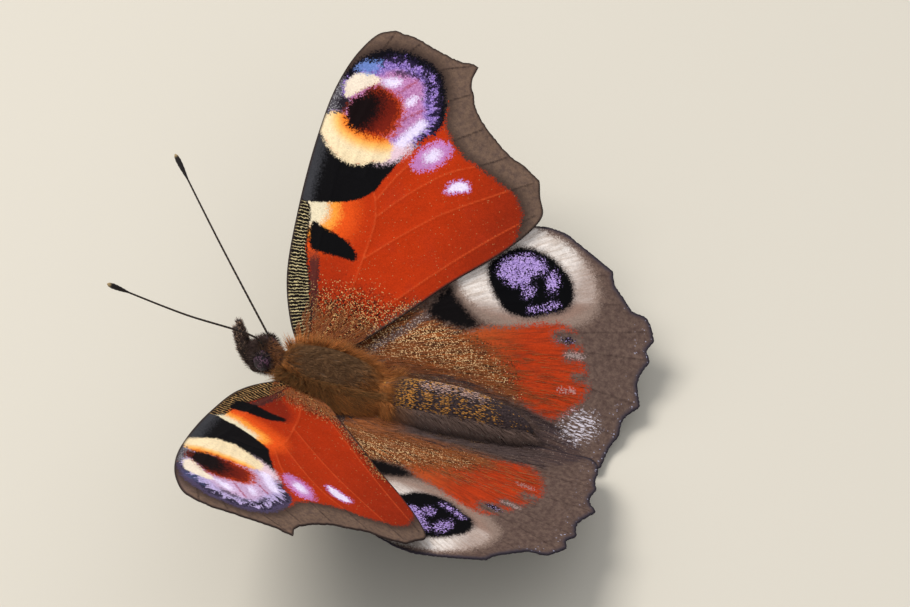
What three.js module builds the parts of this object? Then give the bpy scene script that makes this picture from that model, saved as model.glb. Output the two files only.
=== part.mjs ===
// A basking peacock butterfly, life size, in millimetres.
// +X is the butterfly's left, -Y is the way its head faces, +Z is up, and it stands on z = 0.
import * as THREE from 'three';

// Stance
const BODY_LIFT = 6.9;        // height of the body's reference line over the ground
const GAP = 0.3;              // clearance where two pieces meet
const WING_THICKNESS = 0.5;
const SIDES = 20;             // facets round the head, thorax and abdomen

// Body sections from front to rear: y along the body, zc centre height, rx half width, rz half height
const HEAD = [
  { y: -6.8, zc: 0.45, rx: 0.45, rz: 0.6 },
  { y: -6.45, zc: 0.5, rx: 0.8, rz: 1.1 },
  { y: -5.7, zc: 0.55, rx: 0.95, rz: 1.45 },
  { y: -4.8, zc: 0.35, rx: 0.95, rz: 1.3 },
  { y: -4.25, zc: 0.05, rx: 0.85, rz: 0.95 },
];
const THORAX = [
  { y: -3.95, zc: -0.4, rx: 1.15, rz: 1.2 },
  { y: -3.2, zc: -0.65, rx: 1.8, rz: 1.95 },
  { y: -1.8, zc: -0.95, rx: 2.3, rz: 2.4 },
  { y: -0.2, zc: -1.2, rx: 2.5, rz: 2.55 },
  { y: 1.6, zc: -1.45, rx: 2.4, rz: 2.4 },
  { y: 3.0, zc: -1.6, rx: 2.0, rz: 2.0 },
  { y: 4.2, zc: -1.7, rx: 1.3, rz: 1.35 },
];
const ABDOMEN = [
  { y: 4.5, zc: -1.7, rx: 1.25, rz: 1.3 },
  { y: 6.0, zc: -1.7, rx: 1.6, rz: 1.6 },
  { y: 9.0, zc: -1.7, rx: 1.75, rz: 1.7 },
  { y: 12.5, zc: -1.95, rx: 1.6, rz: 1.55 },
  { y: 15.3, zc: -2.45, rx: 1.1, rz: 1.1 },
  { y: 17.0, zc: -2.95, rx: 0.4, rz: 0.45 },
];
const ABDOMEN_RINGS = 8;
const RING_DEPTH = 0.07;      // share by which the abdomen narrows between two rings
const RING_STEPS = 3;         // sections along each ring
const HEAD_STEPS = 8;
const THORAX_STEPS = 12;

// Eyes, feelers and mouthparts, given for the left side
const EYE = { at: [1.15, -5.4, 0.75], radius: [0.75, 0.9, 1.05] };
const ANTENNA = {
  base: [0.65, -5.5, 2.35],
  tip: { left: [8.5, -15.65, 13.1], right: [8.5, -15.2, 13.1] },
  droop: 0.45,                // how far its middle sags below a straight line
  shaft: 0.26,                // radius
  club: 0.52,
  clubShare: 0.14,            // share of the length that is club
  fullAt: 0.8,                // share of the club where it is widest and its round end starts
  tipRound: 0.64,             // how far the end closes, 1 for a full round
  steps: 26,
};
const PALP = {
  path: [[0.54, -7.25, -0.35], [0.58, -7.45, 0.7], [0.55, -7.52, 2.1], [0.5, -7.45, 3.3]],
  root: 0.33,                 // radius
  tip: 0.14,
  steps: 8,
};
const PROBOSCIS = {
  centre: [0, -6.3, -1.95],
  radius: 0.25,
  coil: 0.65,                 // radius of the coil where it leaves the face
  inner: 0.5,                 // radius of the coil at the tongue's tip
  start: 63,                  // direction in degrees from the coil's centre to where it leaves the face
  turns: 0.68,
  steps: 22,
};
const LIMB_FACETS = 8;        // facets round feelers, palps, tongue and legs
const OUTWARDS = new THREE.Vector3(1, 0, 0);
const EYE_ROWS = 10;
const EYE_COLUMNS = 16;

// Wing planes in the body frame. rise is the slope outwards and fall is the slope towards the tail.
const FORE_HINGE = [3.46, -1.8, 0.3];
const HIND_HINGE = [3.22, 1.77, -1.2];
const FORE_POSE = {
  left: { rise: 0.46, fall: 0.285, sweep: 1.2 },
  right: { rise: 0.465, fall: 0.315, sweep: 0 },
};
const HIND_POSE = {
  left: { rise: 0.228, fall: 0.098, sweep: -4.3 },
  right: { rise: 0.305, fall: 0.235, sweep: 0 },
};
const FORE_ARCH = 1.2;        // drop of the forewing's edges at 20 mm from its mid line
const HIND_TUCK = 0.75;       // how far the hindwing's root lies under the forewing's
const HIND_LIFT = 0.25;       // upward curl of the hindwing at 16 mm out
// The inner part of the right hindwing rises beside the abdomen, and that of the left one folds down.
const INNER_RISE = { left: 0, right: 1.0 };  // at 3.3 mm inside the hinge
const INNER_DROP = { left: 2.4, right: 0 };
const FOLD = {
  line: 1.0,                  // distance outside the hinge where the fold starts
  turn: 9,                    // from here towards the tail the fold line runs inwards
  slant: 0.24,
  width: 2.6,
  from: 2,                    // the fold deepens between these two places along the wing
  full: 8,
};

// Wing outlines, flat, for the left wing: x outwards and y towards the tail from the hinge.
// Each list is one smooth stretch, and two stretches meet in a corner.
const FORE_OUTLINE = [
  [[-1.5, -1.3], [0.4, -2.7], [4, -4.4], [10, -5.7], [17, -6.6], [22, -6.75], [25.8, -6.1], [28.2, -4.9],
    [29.05, -3], [28.85, -0.6], [28.6, 1.9], [28.7, 3.8]],
  [[28.7, 3.8], [27.3, 3.75], [26.0, 4.3]],
  [[26.0, 4.3], [24.9, 5.15], [23.7, 6.45]],
  [[23.7, 6.45], [23.05, 7.7], [22.15, 9.1]],
  [[22.15, 9.1], [21.9, 10.6], [21.1, 12.2]],
  [[21.1, 12.2], [19.7, 12.75], [18.3, 13.5], [16.6, 13.1], [13.4, 11.4], [9.0, 8.35], [5.2, 6.05],
    [1.5, 3.7], [-0.4, 2.3], [-1.5, 1.2]],
];
const HIND_OUTLINE = [
  [[-0.9, -1.2], [1.6, -2.1], [6, -1.4], [10.8, 1.4], [14.9, 5.4], [17.4, 8.8], [18.15, 11.9], [17.4, 14.3],
    [16.1, 17.4]],
  [[16.1, 17.4], [14.9, 18.0], [13.8, 19.2]],
  [[13.8, 19.2], [13.0, 20.1], [12.75, 21.5], [10.9, 22.7]],
  [[10.9, 22.7], [9.8, 22.4], [8.7, 22.85]],
  [[8.7, 22.85], [6.8, 22.5], [4.3, 23.3]],
  [[4.3, 23.3], [2.8, 22.4], [1.0, 22.4]],
  [[1.0, 22.4], [-0.4, 22.0], [-1.6, 21.9]],
];
// The hindwing's inner edge runs beside the abdomen and then behind it: distance from the body's middle
// plane and place along the body
const INNER_EDGE = [
  [0.35, 22.6], [0.3, 20.5], [0.35, 18.0], [0.7, 15.0], [1.4, 11.5], [2.15, 8.0], [2.35, 5.5],
];

// Main veins: each is a line of points on the flat wing, from the root to the edge
const FORE_VEINS = [
  [[-0.6, -1.2], [3, -3.1], [8, -4.4], [13.6, -5.6]],
  [[-0.8, -0.6], [3, -1.7], [8, -3.0], [14, -3.9], [20, -4.6], [25, -4.6], [28.5, -3.9]],
  [[13, -3.75], [17.5, -5.0], [21.5, -6.1]],
  [[15.5, -4.05], [20, -3.8], [25, -3.2], [28.4, -1.6]],
  [[14.6, -2.9], [19, -2.9], [23.3, -1.8], [26.6, 0.6], [28.4, 3.2]],
  [[14.8, -1.6], [19, -1.6], [22.5, 0.4], [24.3, 2.3], [25.8, 4.0]],
  [[13.4, 0.0], [17.5, 1.4], [20.8, 3.8], [23.3, 6.1]],
  [[12.0, 0.55], [15.0, 2.3], [18.3, 4.8], [20.3, 7.3], [21.8, 8.9]],
  [[8.0, 0.9], [11, 2.9], [14.2, 5.3], [17.6, 8.6], [20.6, 11.8]],
  [[-0.8, 0.1], [4, 0.9], [8.5, 0.85], [12, 0.5], [14.6, -1.0], [14.6, -3.3]],
  [[-0.7, 0.7], [4, 3.7], [9, 6.7], [14, 10.0], [17.9, 12.9]],
];
const HIND_VEINS = [
  [[-0.4, -0.6], [4, -1.0], [9.5, 1.6], [14.2, 5.6], [17.0, 9.6]],
  [[2.6, 0.6], [7, 3.0], [12.5, 7.2], [17.2, 12.6]],
  [[-0.4, 0.2], [4, 1.7], [7.0, 4.2], [11.2, 9.6], [15.3, 16.8]],
  [[6.2, 3.4], [9.4, 9.2], [13.0, 18.7]],
  [[4.2, 6.2], [7.4, 12.4], [11.4, 21.7]],
  [[-0.4, 0.7], [2.6, 3.6], [4.8, 8.0], [6.6, 13.5], [8.8, 22.3]],
  [[2.9, 4.1], [4.2, 11], [4.5, 22.6]],
  [[-0.4, 1.0], [1.0, 8.0], [1.4, 15.0], [1.0, 21.8]],
];
const VEIN = { height: 0.2, edgeHeight: 0.1, halfWidth: 0.34, step: 1.2 };
const COVER = { slope: 0.63, start: -0.5, fade: 1.0 };  // line of the forewing's rear edge over the hindwing
const EDGE_STEP = 1.0;        // spacing of points along a wing's edge
const FILL_STEP = 1.6;        // spacing of the points between the veins
const CREST_ROOM = 0.42;      // least distance of a vein's crest points from other points
const FOOT_ROOM = 0.3;        // least distance of the points at a vein's foot from other points
const FILL_ROOM = 0.88;       // least distance of the points between the veins from other points
const SMALLEST_FACE = 0.004;  // flat triangles under this area are left out at the edge

// Legs of the left side. at is where the leg leaves the thorax's side, turn is the way it points,
// 0 straight out and 90 towards the tail, and path gives distance out from there and height over the ground.
const MIDDLE_LEG = {
  name: 'leg_mid',
  at: [1.0, -0.9],
  turn: -32,
  path: [[0, 3.05], [0.5, 2.1], [3.3, 2.75], [5.3, 0.62], [5.9, 0.26], [6.6, 0.2], [8.4, 0.2]],
  radii: [0.5, 0.45, 0.38, 0.3, 0.27, 0.27, 0.26],
};
const HIND_LEG = {
  name: 'leg_hind',
  at: [0.95, 1.9],
  turn: 52,
  path: [[0, 3.05], [0.5, 2.0], [3.9, 2.5], [6.6, 0.62], [7.3, 0.26], [8.1, 0.2], [9.9, 0.2]],
  radii: [0.5, 0.45, 0.38, 0.3, 0.27, 0.27, 0.26],
};
const FORELEG = {
  name: 'leg_fore',
  at: [0.85, -3.0],
  turn: -68,
  path: [[0, 4.35], [0.5, 3.5], [1.9, 3.9], [1.5, 2.6]],
  radii: [0.36, 0.34, 0.28, 0.16],
};
const LEG_BEND = 0.3;         // how far from a bend its rounding starts
const BEND_SHARE = 0.3;       // and at most this share of the stretch

const COLOURS = {
  head: [0x2b2622, 0.9],
  eye: [0x2a1d24, 0.35],
  antenna: [0x2a2522, 0.7],
  palp: [0x221e1c, 0.9],
  proboscis: [0x3a2a1a, 0.5],
  thorax: [0x4a3520, 0.95],
  abdomen: [0x3b3129, 0.9],
  forewing: [0xa63a17, 0.85],
  hindwing: [0x8a3d22, 0.85],
  leg: [0x3a2f27, 0.7],
};

// Geometry helpers

function solid(positions, faces) {
  const geometry = new THREE.BufferGeometry();
  geometry.setAttribute('position', new THREE.Float32BufferAttribute(positions.flat(), 3));
  geometry.setIndex(faces.flat());
  geometry.computeVertexNormals();
  return geometry;
}

// Smooth value of one field of a list of stations at y
function stationValue(stations, key, y) {
  let i = 0;
  while (i < stations.length - 2 && y > stations[i + 1].y) i += 1;
  const a = stations[i];
  const b = stations[i + 1];
  const span = b.y - a.y;
  const slope = (k) => {
    const before = stations[Math.max(k - 1, 0)];
    const after = stations[Math.min(k + 1, stations.length - 1)];
    return ((after[key] - before[key]) / (after.y - before.y)) * span;
  };
  const t = THREE.MathUtils.clamp((y - a.y) / span, 0, 1);
  const h = t * t * (3 - 2 * t);
  return a[key] + (b[key] - a[key]) * h + slope(i) * t * (1 - t) ** 2 - slope(i + 1) * t * t * (1 - t);
}

function section(stations, y) {
  return {
    zc: stationValue(stations, 'zc', y),
    rx: stationValue(stations, 'rx', y),
    rz: stationValue(stations, 'rz', y),
  };
}

// Moves a point of the body frame out of a body piece, so that it stays a distance clear of its skin.
// The cleared space has a round end beyond the first and the last station.
function pushOut(point, stations, clear = GAP) {
  const [x, y, z] = point;
  const beyond = Math.max(stations[0].y - y, y - stations.at(-1).y, 0);
  if (beyond >= clear) return point;
  const s = section(stations, y);
  const round = Math.sqrt(1 - (beyond / clear) ** 2);
  const dz = z - s.zc;
  const k = Math.hypot(x / (s.rx + clear), dz / (s.rz + clear)) / round;
  return k >= 1 || k === 0 ? point : [x / k, y, s.zc + dz / k];
}

// Closed body of elliptical sections with flat ends
function loft(stations, steps, shape = () => 1) {
  const positions = [];
  for (let i = 0; i <= steps; i += 1) {
    const y = THREE.MathUtils.lerp(stations[0].y, stations.at(-1).y, i / steps);
    const s = section(stations, y);
    const scale = shape(i);
    for (let j = 0; j < SIDES; j += 1) {
      const a = (2 * Math.PI * j) / SIDES;
      positions.push([s.rx * scale * Math.sin(a), y, s.zc + s.rz * scale * Math.cos(a)]);
    }
  }
  return closeRings(positions, SIDES, steps);
}

// Joins rings of equal length into one closed tube and adds its two flat ends
function closeRings(positions, sides, steps) {
  const faces = [];
  for (let i = 0; i < steps; i += 1) {
    for (let j = 0; j < sides; j += 1) {
      const a = i * sides + j;
      const b = i * sides + ((j + 1) % sides);
      faces.push([a, b, a + sides], [b, b + sides, a + sides]);
    }
  }
  const middle = (start) => [0, 1, 2].map((k) => {
    let sum = 0;
    for (let j = 0; j < sides; j += 1) sum += positions[start + j][k];
    return sum / sides;
  });
  const tail = steps * sides;
  const frontCentre = positions.length;
  positions.push(middle(0), middle(tail));
  for (let j = 0; j < sides; j += 1) {
    const next = (j + 1) % sides;
    faces.push([frontCentre, next, j], [frontCentre + 1, tail + j, tail + next]);
  }
  return { positions, faces };
}

// Tube along points with a radius at each. up fixes how its facets lie.
function tube(points, radii, sides, up) {
  const positions = [];
  const last = points.length - 1;
  points.forEach((p, i) => {
    const along = points[Math.min(i + 1, last)].clone().sub(points[Math.max(i - 1, 0)]).normalize();
    const side = new THREE.Vector3().crossVectors(along, up).normalize();
    const top = new THREE.Vector3().crossVectors(side, along);
    for (let j = 0; j < sides; j += 1) {
      const a = (2 * Math.PI * (j + 0.5)) / sides;
      const q = p.clone();
      q.addScaledVector(side, radii[i] * Math.sin(a));
      q.addScaledVector(top, radii[i] * Math.cos(a));
      positions.push(q.toArray());
    }
  });
  return closeRings(positions, sides, last);
}

const mirrored = (point, side) => (side === 'left' ? point : [-point[0], point[1], point[2]]);

// Mirroring a closed surface turns it inside out, so its faces are turned back
function forSide({ positions, faces }, side) {
  return {
    positions: positions.map((p) => mirrored(p, side)),
    faces: side === 'left' ? faces : faces.map(([a, b, c]) => [a, c, b]),
  };
}

// Wings

function wingBasis({ rise, fall, sweep }) {
  const normal = new THREE.Vector3(-rise, fall, 1).normalize();
  const out = new THREE.Vector3(1, 0, 0).addScaledVector(normal, -normal.x).normalize();
  const back = new THREE.Vector3().crossVectors(normal, out);
  const turn = THREE.MathUtils.degToRad(sweep);
  out.applyAxisAngle(normal, turn);
  back.applyAxisAngle(normal, turn);
  return { out, back, normal };
}

const foreHeight = (x, y) => -FORE_ARCH * (y / 20) ** 2;

function hindHeight(x, y, side) {
  const tuck = -HIND_TUCK * Math.exp(-(x * x + y * y) / 5.5 ** 2);
  const lift = HIND_LIFT * (Math.max(x, 0) / 16) ** 2;
  const rise = INNER_RISE[side] * (Math.min(x, 0) / 3.3) ** 2;
  const line = FOLD.line - FOLD.slant * Math.max(y - FOLD.turn, 0);
  const across = THREE.MathUtils.smoothstep(line - x, 0, FOLD.width);
  const along = THREE.MathUtils.smoothstep(y, FOLD.from, FOLD.full);
  return tuck + lift + rise - INNER_DROP[side] * across * along;
}

// Smooth curve through points of two or three numbers
function smoothCurve(points) {
  const places = points.map(([x, y, z = 0]) => new THREE.Vector3(x, y, z));
  return new THREE.CatmullRomCurve3(places, false, 'centripetal');
}

const stepCount = (curve, step) => Math.max(2, Math.round(curve.getLength() / step));

// Evenly spaced flat points along a smooth curve, without its last point
function sampled(points, step) {
  const curve = smoothCurve(points);
  return curve.getSpacedPoints(stepCount(curve, step)).slice(0, -1).map((p) => [p.x, p.y]);
}

function insideOutline([x, y], outline) {
  let inside = false;
  outline.forEach(([ax, ay], i) => {
    const [bx, by] = outline[(i + 1) % outline.length];
    if (ay > y !== by > y && x < ((bx - ax) * (y - ay)) / (by - ay) + ax) inside = !inside;
  });
  return inside;
}

// Delaunay triangles of flat points, by adding the points one at a time
function triangulate(points) {
  const far = 1000;
  const all = [...points, [-far, -far], [far, -far], [0, far]];
  const n = points.length;
  const circle = (a, b, c) => {
    const [ax, ay] = all[a];
    const [bx, by] = all[b];
    const [cx, cy] = all[c];
    const d = 2 * (ax * (by - cy) + bx * (cy - ay) + cx * (ay - by));
    const a2 = ax * ax + ay * ay;
    const b2 = bx * bx + by * by;
    const c2 = cx * cx + cy * cy;
    const ux = (a2 * (by - cy) + b2 * (cy - ay) + c2 * (ay - by)) / d;
    const uy = (a2 * (cx - bx) + b2 * (ax - cx) + c2 * (bx - ax)) / d;
    return { corners: [a, b, c], ux, uy, r2: (ax - ux) ** 2 + (ay - uy) ** 2 };
  };
  let triangles = [circle(n, n + 1, n + 2)];
  for (let i = 0; i < n; i += 1) {
    const [x, y] = all[i];
    const rim = new Map();
    const kept = [];
    triangles.forEach((t) => {
      if ((x - t.ux) ** 2 + (y - t.uy) ** 2 >= t.r2) {
        kept.push(t);
        return;
      }
      t.corners.forEach((a, k) => {
        const b = t.corners[(k + 1) % 3];
        const back = `${b},${a}`;
        if (rim.has(back)) rim.delete(back);
        else rim.set(`${a},${b}`, [a, b]);
      });
    });
    rim.forEach(([a, b]) => kept.push(circle(a, b, i)));
    triangles = kept;
  }
  return triangles.map((t) => t.corners).filter((t) => t.every((k) => k < n));
}

// Points along a vein, each with the direction across it and its share of the way to the edge
function veinPoints(vein, step) {
  const curve = smoothCurve(vein);
  const count = stepCount(curve, step);
  return curve.getSpacedPoints(count).map((p, i) => {
    const along = curve.getTangentAt(i / count);
    return { x: p.x, y: p.y, nx: -along.y, ny: along.x, share: i / count };
  });
}

// Flat points of a wing: its edge, then vein crests and their feet, then points between the veins
function wingPoints(edge, veins, fade) {
  const points = edge.map(([x, y]) => ({ x, y, ridge: 0 }));
  const clearOf = (list, x, y, room) => list.every((p) => Math.hypot(p.x - x, p.y - y) > room);
  const add = (x, y, ridge, room) => {
    if (insideOutline([x, y], edge) && clearOf(points, x, y, room)) points.push({ x, y, ridge });
  };
  const crests = veins.flatMap((vein) => veinPoints(vein, VEIN.step));
  crests.forEach(({ x, y, share }) => {
    const height = THREE.MathUtils.lerp(VEIN.height, VEIN.edgeHeight, share);
    add(x, y, height * fade(x, y), CREST_ROOM);
  });
  // a foot that lies on another vein would notch its ridge
  const ridges = veins.flatMap((vein) => veinPoints(vein, FOOT_ROOM));
  crests.forEach(({ x, y, nx, ny }) => {
    [-VEIN.halfWidth, VEIN.halfWidth].forEach((offset) => {
      const foot = [x + nx * offset, y + ny * offset];
      if (clearOf(ridges, ...foot, FOOT_ROOM)) add(...foot, 0, FOOT_ROOM);
    });
  });
  const reach = 32;
  const rowHeight = Math.sqrt(3) / 2;
  for (let row = -reach; row < reach; row += 1) {
    for (let column = -reach; column < reach; column += 1) {
      add((column + (row % 2) / 2) * FILL_STEP, row * FILL_STEP * rowHeight, 0, FILL_ROOM);
    }
  }
  return points;
}

// A membrane with its veins raised, split alike on both faces and closed round its edge
function wing(edge, veins, pose, hinge, height, fade = () => 1) {
  const { out, back, normal } = wingBasis(pose);
  const points = wingPoints(edge, veins, fade);
  const flat = points.map((p) => [p.x, p.y]);
  const triangles = triangulate(flat).map(([a, b, c]) => {
    const area = (flat[b][0] - flat[a][0]) * (flat[c][1] - flat[a][1])
      - (flat[c][0] - flat[a][0]) * (flat[b][1] - flat[a][1]);
    return area > 0 ? { t: [a, b, c], area } : { t: [a, c, b], area: -area };
  }).filter(({ t, area }) => {
    const middle = [0, 1].map((k) => (flat[t[0]][k] + flat[t[1]][k] + flat[t[2]][k]) / 3);
    return area > SMALLEST_FACE && insideOutline(middle, edge);
  }).map(({ t }) => t);
  const half = WING_THICKNESS / 2;
  const place = (p, face) => {
    const middle = new THREE.Vector3(...hinge);
    middle.addScaledVector(out, p.x).addScaledVector(back, p.y).addScaledVector(normal, height(p.x, p.y));
    const clear = new THREE.Vector3(...pushOut(middle.toArray(), ABDOMEN, GAP + half));
    const ridge = face > 0 ? p.ridge : 0;
    return pushOut(clear.addScaledVector(normal, face * (half + ridge)).toArray(), THORAX);
  };
  const used = [...new Set(triangles.flat())];
  const index = new Map(used.map((k, i) => [k, i]));
  const count = used.length;
  const positions = [...used.map((k) => place(points[k], 1)), ...used.map((k) => place(points[k], -1))];
  const faces = [];
  const rim = new Map();
  triangles.forEach((t) => {
    const [a, b, c] = t.map((k) => index.get(k));
    faces.push([a, b, c], [a + count, c + count, b + count]);
    [[a, b], [b, c], [c, a]].forEach(([u, v]) => {
      if (rim.has(`${v},${u}`)) rim.delete(`${v},${u}`);
      else rim.set(`${u},${v}`, [u, v]);
    });
  });
  rim.forEach(([u, v]) => faces.push([u, u + count, v], [v, u + count, v + count]));
  return { positions, faces };
}

// The whole edge of a wing as points, with the root where it meets the thorax as its last stretch
function edgePoints(stretches) {
  const root = [stretches.at(-1).at(-1), stretches[0][0]];
  return [...stretches, root].flatMap((stretch) => sampled(stretch, EDGE_STEP));
}

function forewing(side) {
  const edge = edgePoints(FORE_OUTLINE);
  return forSide(wing(edge, FORE_VEINS, FORE_POSE[side], FORE_HINGE, foreHeight), side);
}

// The hindwing's veins flatten out where the forewing lies over them
function hindFade(x, y) {
  const foreEdge = COVER.slope * x + COVER.start;
  return THREE.MathUtils.clamp((y - foreEdge) / COVER.fade, 0, 1);
}

function hindwing(side) {
  const pose = HIND_POSE[side];
  const { out, back } = wingBasis(pose);
  const hinge = new THREE.Vector3(...HIND_HINGE);
  // a distance from the middle plane and a place along the body, as a flat point of this wing
  const inner = INNER_EDGE.map(([x, y]) => {
    const dx = x - hinge.x;
    const dy = y - hinge.y;
    const det = out.x * back.y - out.y * back.x;
    return [(dx * back.y - dy * back.x) / det, (dy * out.x - dx * out.y) / det];
  });
  const corner = HIND_OUTLINE.at(-1).at(-1);
  const innerStretch = [corner, ...inner, [-1.0, 1.5]];
  const edge = edgePoints([...HIND_OUTLINE, innerStretch]);
  const height = (x, y) => hindHeight(x, y, side);
  return forSide(wing(edge, HIND_VEINS, pose, HIND_HINGE, height, hindFade), side);
}

// Body

const head = () => loft(HEAD, HEAD_STEPS);
const thorax = () => loft(THORAX, THORAX_STEPS);

function abdomen() {
  const steps = ABDOMEN_RINGS * RING_STEPS;
  const grooved = (i) => i % RING_STEPS === 0 && i > 0 && i < steps;
  return loft(ABDOMEN, steps, (i) => (grooved(i) ? 1 - RING_DEPTH : 1));
}

function eye(side) {
  const positions = [];
  const [cx, cy, cz] = EYE.at;
  const [rx, ry, rz] = EYE.radius;
  for (let i = 1; i < EYE_ROWS; i += 1) {
    const a = (Math.PI * i) / EYE_ROWS;
    for (let j = 0; j < EYE_COLUMNS; j += 1) {
      const b = (2 * Math.PI * j) / EYE_COLUMNS;
      const y = cy + ry * Math.sin(a) * Math.sin(b);
      const z = cz + rz * Math.sin(a) * Math.cos(b);
      positions.push([cx + rx * Math.cos(a), y, z]);
    }
  }
  const closed = closeRings(positions, EYE_COLUMNS, EYE_ROWS - 2);
  const poles = closed.positions.length;
  closed.positions[poles - 2] = [cx + rx, cy, cz];
  closed.positions[poles - 1] = [cx - rx, cy, cz];
  closed.positions = closed.positions.map((p) => pushOut(p, HEAD));
  return forSide(closed, side);
}

function antenna(side) {
  const { base, tip, droop, shaft, club, clubShare, fullAt, tipRound, steps } = ANTENNA;
  const start = new THREE.Vector3(...base);
  const end = new THREE.Vector3(...tip[side]);
  const middle = start.clone().lerp(end, 0.5);
  middle.z -= droop;
  const points = smoothCurve([start, middle, end].map((p) => p.toArray())).getSpacedPoints(steps);
  const radii = points.map((p, i) => {
    const inClub = THREE.MathUtils.clamp((i / steps - 1 + clubShare) / clubShare, 0, 1);
    const swell = Math.sin((Math.min(inClub / fullAt, 1) * Math.PI) / 2);
    const toTip = Math.max(inClub - fullAt, 0) / (1 - fullAt);
    return (shaft + (club - shaft) * swell) * Math.sqrt(1 - tipRound * toTip ** 2);
  });
  return forSide(tube(points, radii, LIMB_FACETS, OUTWARDS), side);
}

function palp(side) {
  const points = smoothCurve(PALP.path).getSpacedPoints(PALP.steps);
  const radii = points.map((p, i) => THREE.MathUtils.lerp(PALP.root, PALP.tip, (i / PALP.steps) ** 2));
  return forSide(tube(points, radii, LIMB_FACETS, OUTWARDS), side);
}

// The tongue, rolled up like a watch spring under the face
function proboscis() {
  const { centre, radius, coil, inner, start, turns, steps } = PROBOSCIS;
  const points = [];
  for (let i = 0; i <= steps; i += 1) {
    const t = i / steps;
    const a = THREE.MathUtils.degToRad(start - 360 * turns * t);
    const r = THREE.MathUtils.lerp(coil, inner, t);
    points.push(new THREE.Vector3(centre[0], centre[1] + r * Math.cos(a), centre[2] + r * Math.sin(a)));
  }
  return tube(points, points.map(() => radius), LIMB_FACETS, OUTWARDS);
}

// A leg lies in one upright plane. Its bends are rounded, and the foot runs flat along the ground.
function leg({ at, turn, path, radii }, side) {
  const a = THREE.MathUtils.degToRad(turn);
  const across = new THREE.Vector3(-Math.sin(a), Math.cos(a), 0);
  const points = [];
  const sizes = [];
  const add = (r, z, size) => {
    points.push(new THREE.Vector3(at[0] + r * Math.cos(a), at[1] + r * Math.sin(a), z - BODY_LIFT));
    sizes.push(size);
  };
  path.forEach(([r, z], i) => {
    const neighbours = [path[i - 1], path[i + 1]].filter((other) => other);
    if (neighbours.length === 1) add(r, z, radii[i]);
    else {
      neighbours.forEach(([nextR, nextZ]) => {
        const length = Math.hypot(nextR - r, nextZ - z);
        const t = Math.min(LEG_BEND / length, BEND_SHARE);
        add(r + (nextR - r) * t, z + (nextZ - z) * t, radii[i]);
      });
    }
  });
  const shape = tube(points, sizes, LIMB_FACETS, across);
  shape.positions = shape.positions.map(([x, y, z]) => pushOut([x, y, Math.max(z, -BODY_LIFT)], THORAX));
  return forSide(shape, side);
}

// Assembly

const butterfly = new THREE.Group();

function addPart(name, kind, { positions, faces }) {
  const [color, roughness] = COLOURS[kind];
  const material = new THREE.MeshStandardMaterial({ color, roughness, metalness: 0 });
  const mesh = new THREE.Mesh(solid(positions, faces), material);
  mesh.name = name;
  butterfly.add(mesh);
}

addPart('head', 'head', head());
addPart('thorax', 'thorax', thorax());
addPart('abdomen', 'abdomen', abdomen());
addPart('proboscis', 'proboscis', proboscis());
['left', 'right'].forEach((side) => {
  addPart(`eye_${side}`, 'eye', eye(side));
  addPart(`antenna_${side}`, 'antenna', antenna(side));
  addPart(`palp_${side}`, 'palp', palp(side));
  addPart(`forewing_${side}`, 'forewing', forewing(side));
  addPart(`hindwing_${side}`, 'hindwing', hindwing(side));
  [FORELEG, MIDDLE_LEG, HIND_LEG].forEach((spec) => addPart(`${spec.name}_${side}`, 'leg', leg(spec, side)));
});

// The origin is on the ground, under the middle of the butterfly's box
const box = new THREE.Box3().setFromObject(butterfly);
const centre = box.getCenter(new THREE.Vector3());
butterfly.position.set(-centre.x, -centre.y, BODY_LIFT);

export default butterfly;
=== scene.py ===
import math

import bpy
import numpy as np
from mathutils import Matrix, Vector
from mathutils.geometry import delaunay_2d_cdt


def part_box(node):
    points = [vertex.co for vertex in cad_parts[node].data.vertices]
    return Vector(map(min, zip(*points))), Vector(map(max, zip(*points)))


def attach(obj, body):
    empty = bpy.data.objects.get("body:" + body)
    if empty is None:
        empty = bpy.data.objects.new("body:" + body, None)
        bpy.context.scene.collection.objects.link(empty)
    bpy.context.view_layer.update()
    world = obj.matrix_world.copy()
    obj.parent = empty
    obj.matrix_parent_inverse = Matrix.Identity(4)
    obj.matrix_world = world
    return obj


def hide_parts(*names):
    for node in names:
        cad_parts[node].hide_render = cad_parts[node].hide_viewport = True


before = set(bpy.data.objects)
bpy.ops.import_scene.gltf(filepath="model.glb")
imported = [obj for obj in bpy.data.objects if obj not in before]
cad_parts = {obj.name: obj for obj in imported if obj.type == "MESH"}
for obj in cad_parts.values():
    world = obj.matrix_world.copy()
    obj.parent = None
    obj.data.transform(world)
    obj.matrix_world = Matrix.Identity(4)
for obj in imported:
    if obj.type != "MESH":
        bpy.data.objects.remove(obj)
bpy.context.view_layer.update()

# A peacock butterfly basking with open wings.
# Lengths are millimetres in the body's own frame: +x its left, -y the way it faces, +z up.
RNG = np.random.default_rng(7)
rand = RNG.random
FLOOR = -6.9
THORAX_FRONT = -3.95
lo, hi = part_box("thorax")
OFFSET = np.array([(lo[0] + hi[0]) * 500, lo[1] * 1000 - THORAX_FRONT, -FLOOR])
LEFTWARD = np.array([1.0, 0, 0])
# what turns the left side's points into those of either side
SIGN = {"left": np.ones(3), "right": np.array([-1.0, 1.0, 1.0])}


def row(points):
    """Points of the body's frame in the row's frame, in metres."""
    return (np.asarray(points, float) + OFFSET) / 1000


# ---- numbers shared with the solid model

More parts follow.
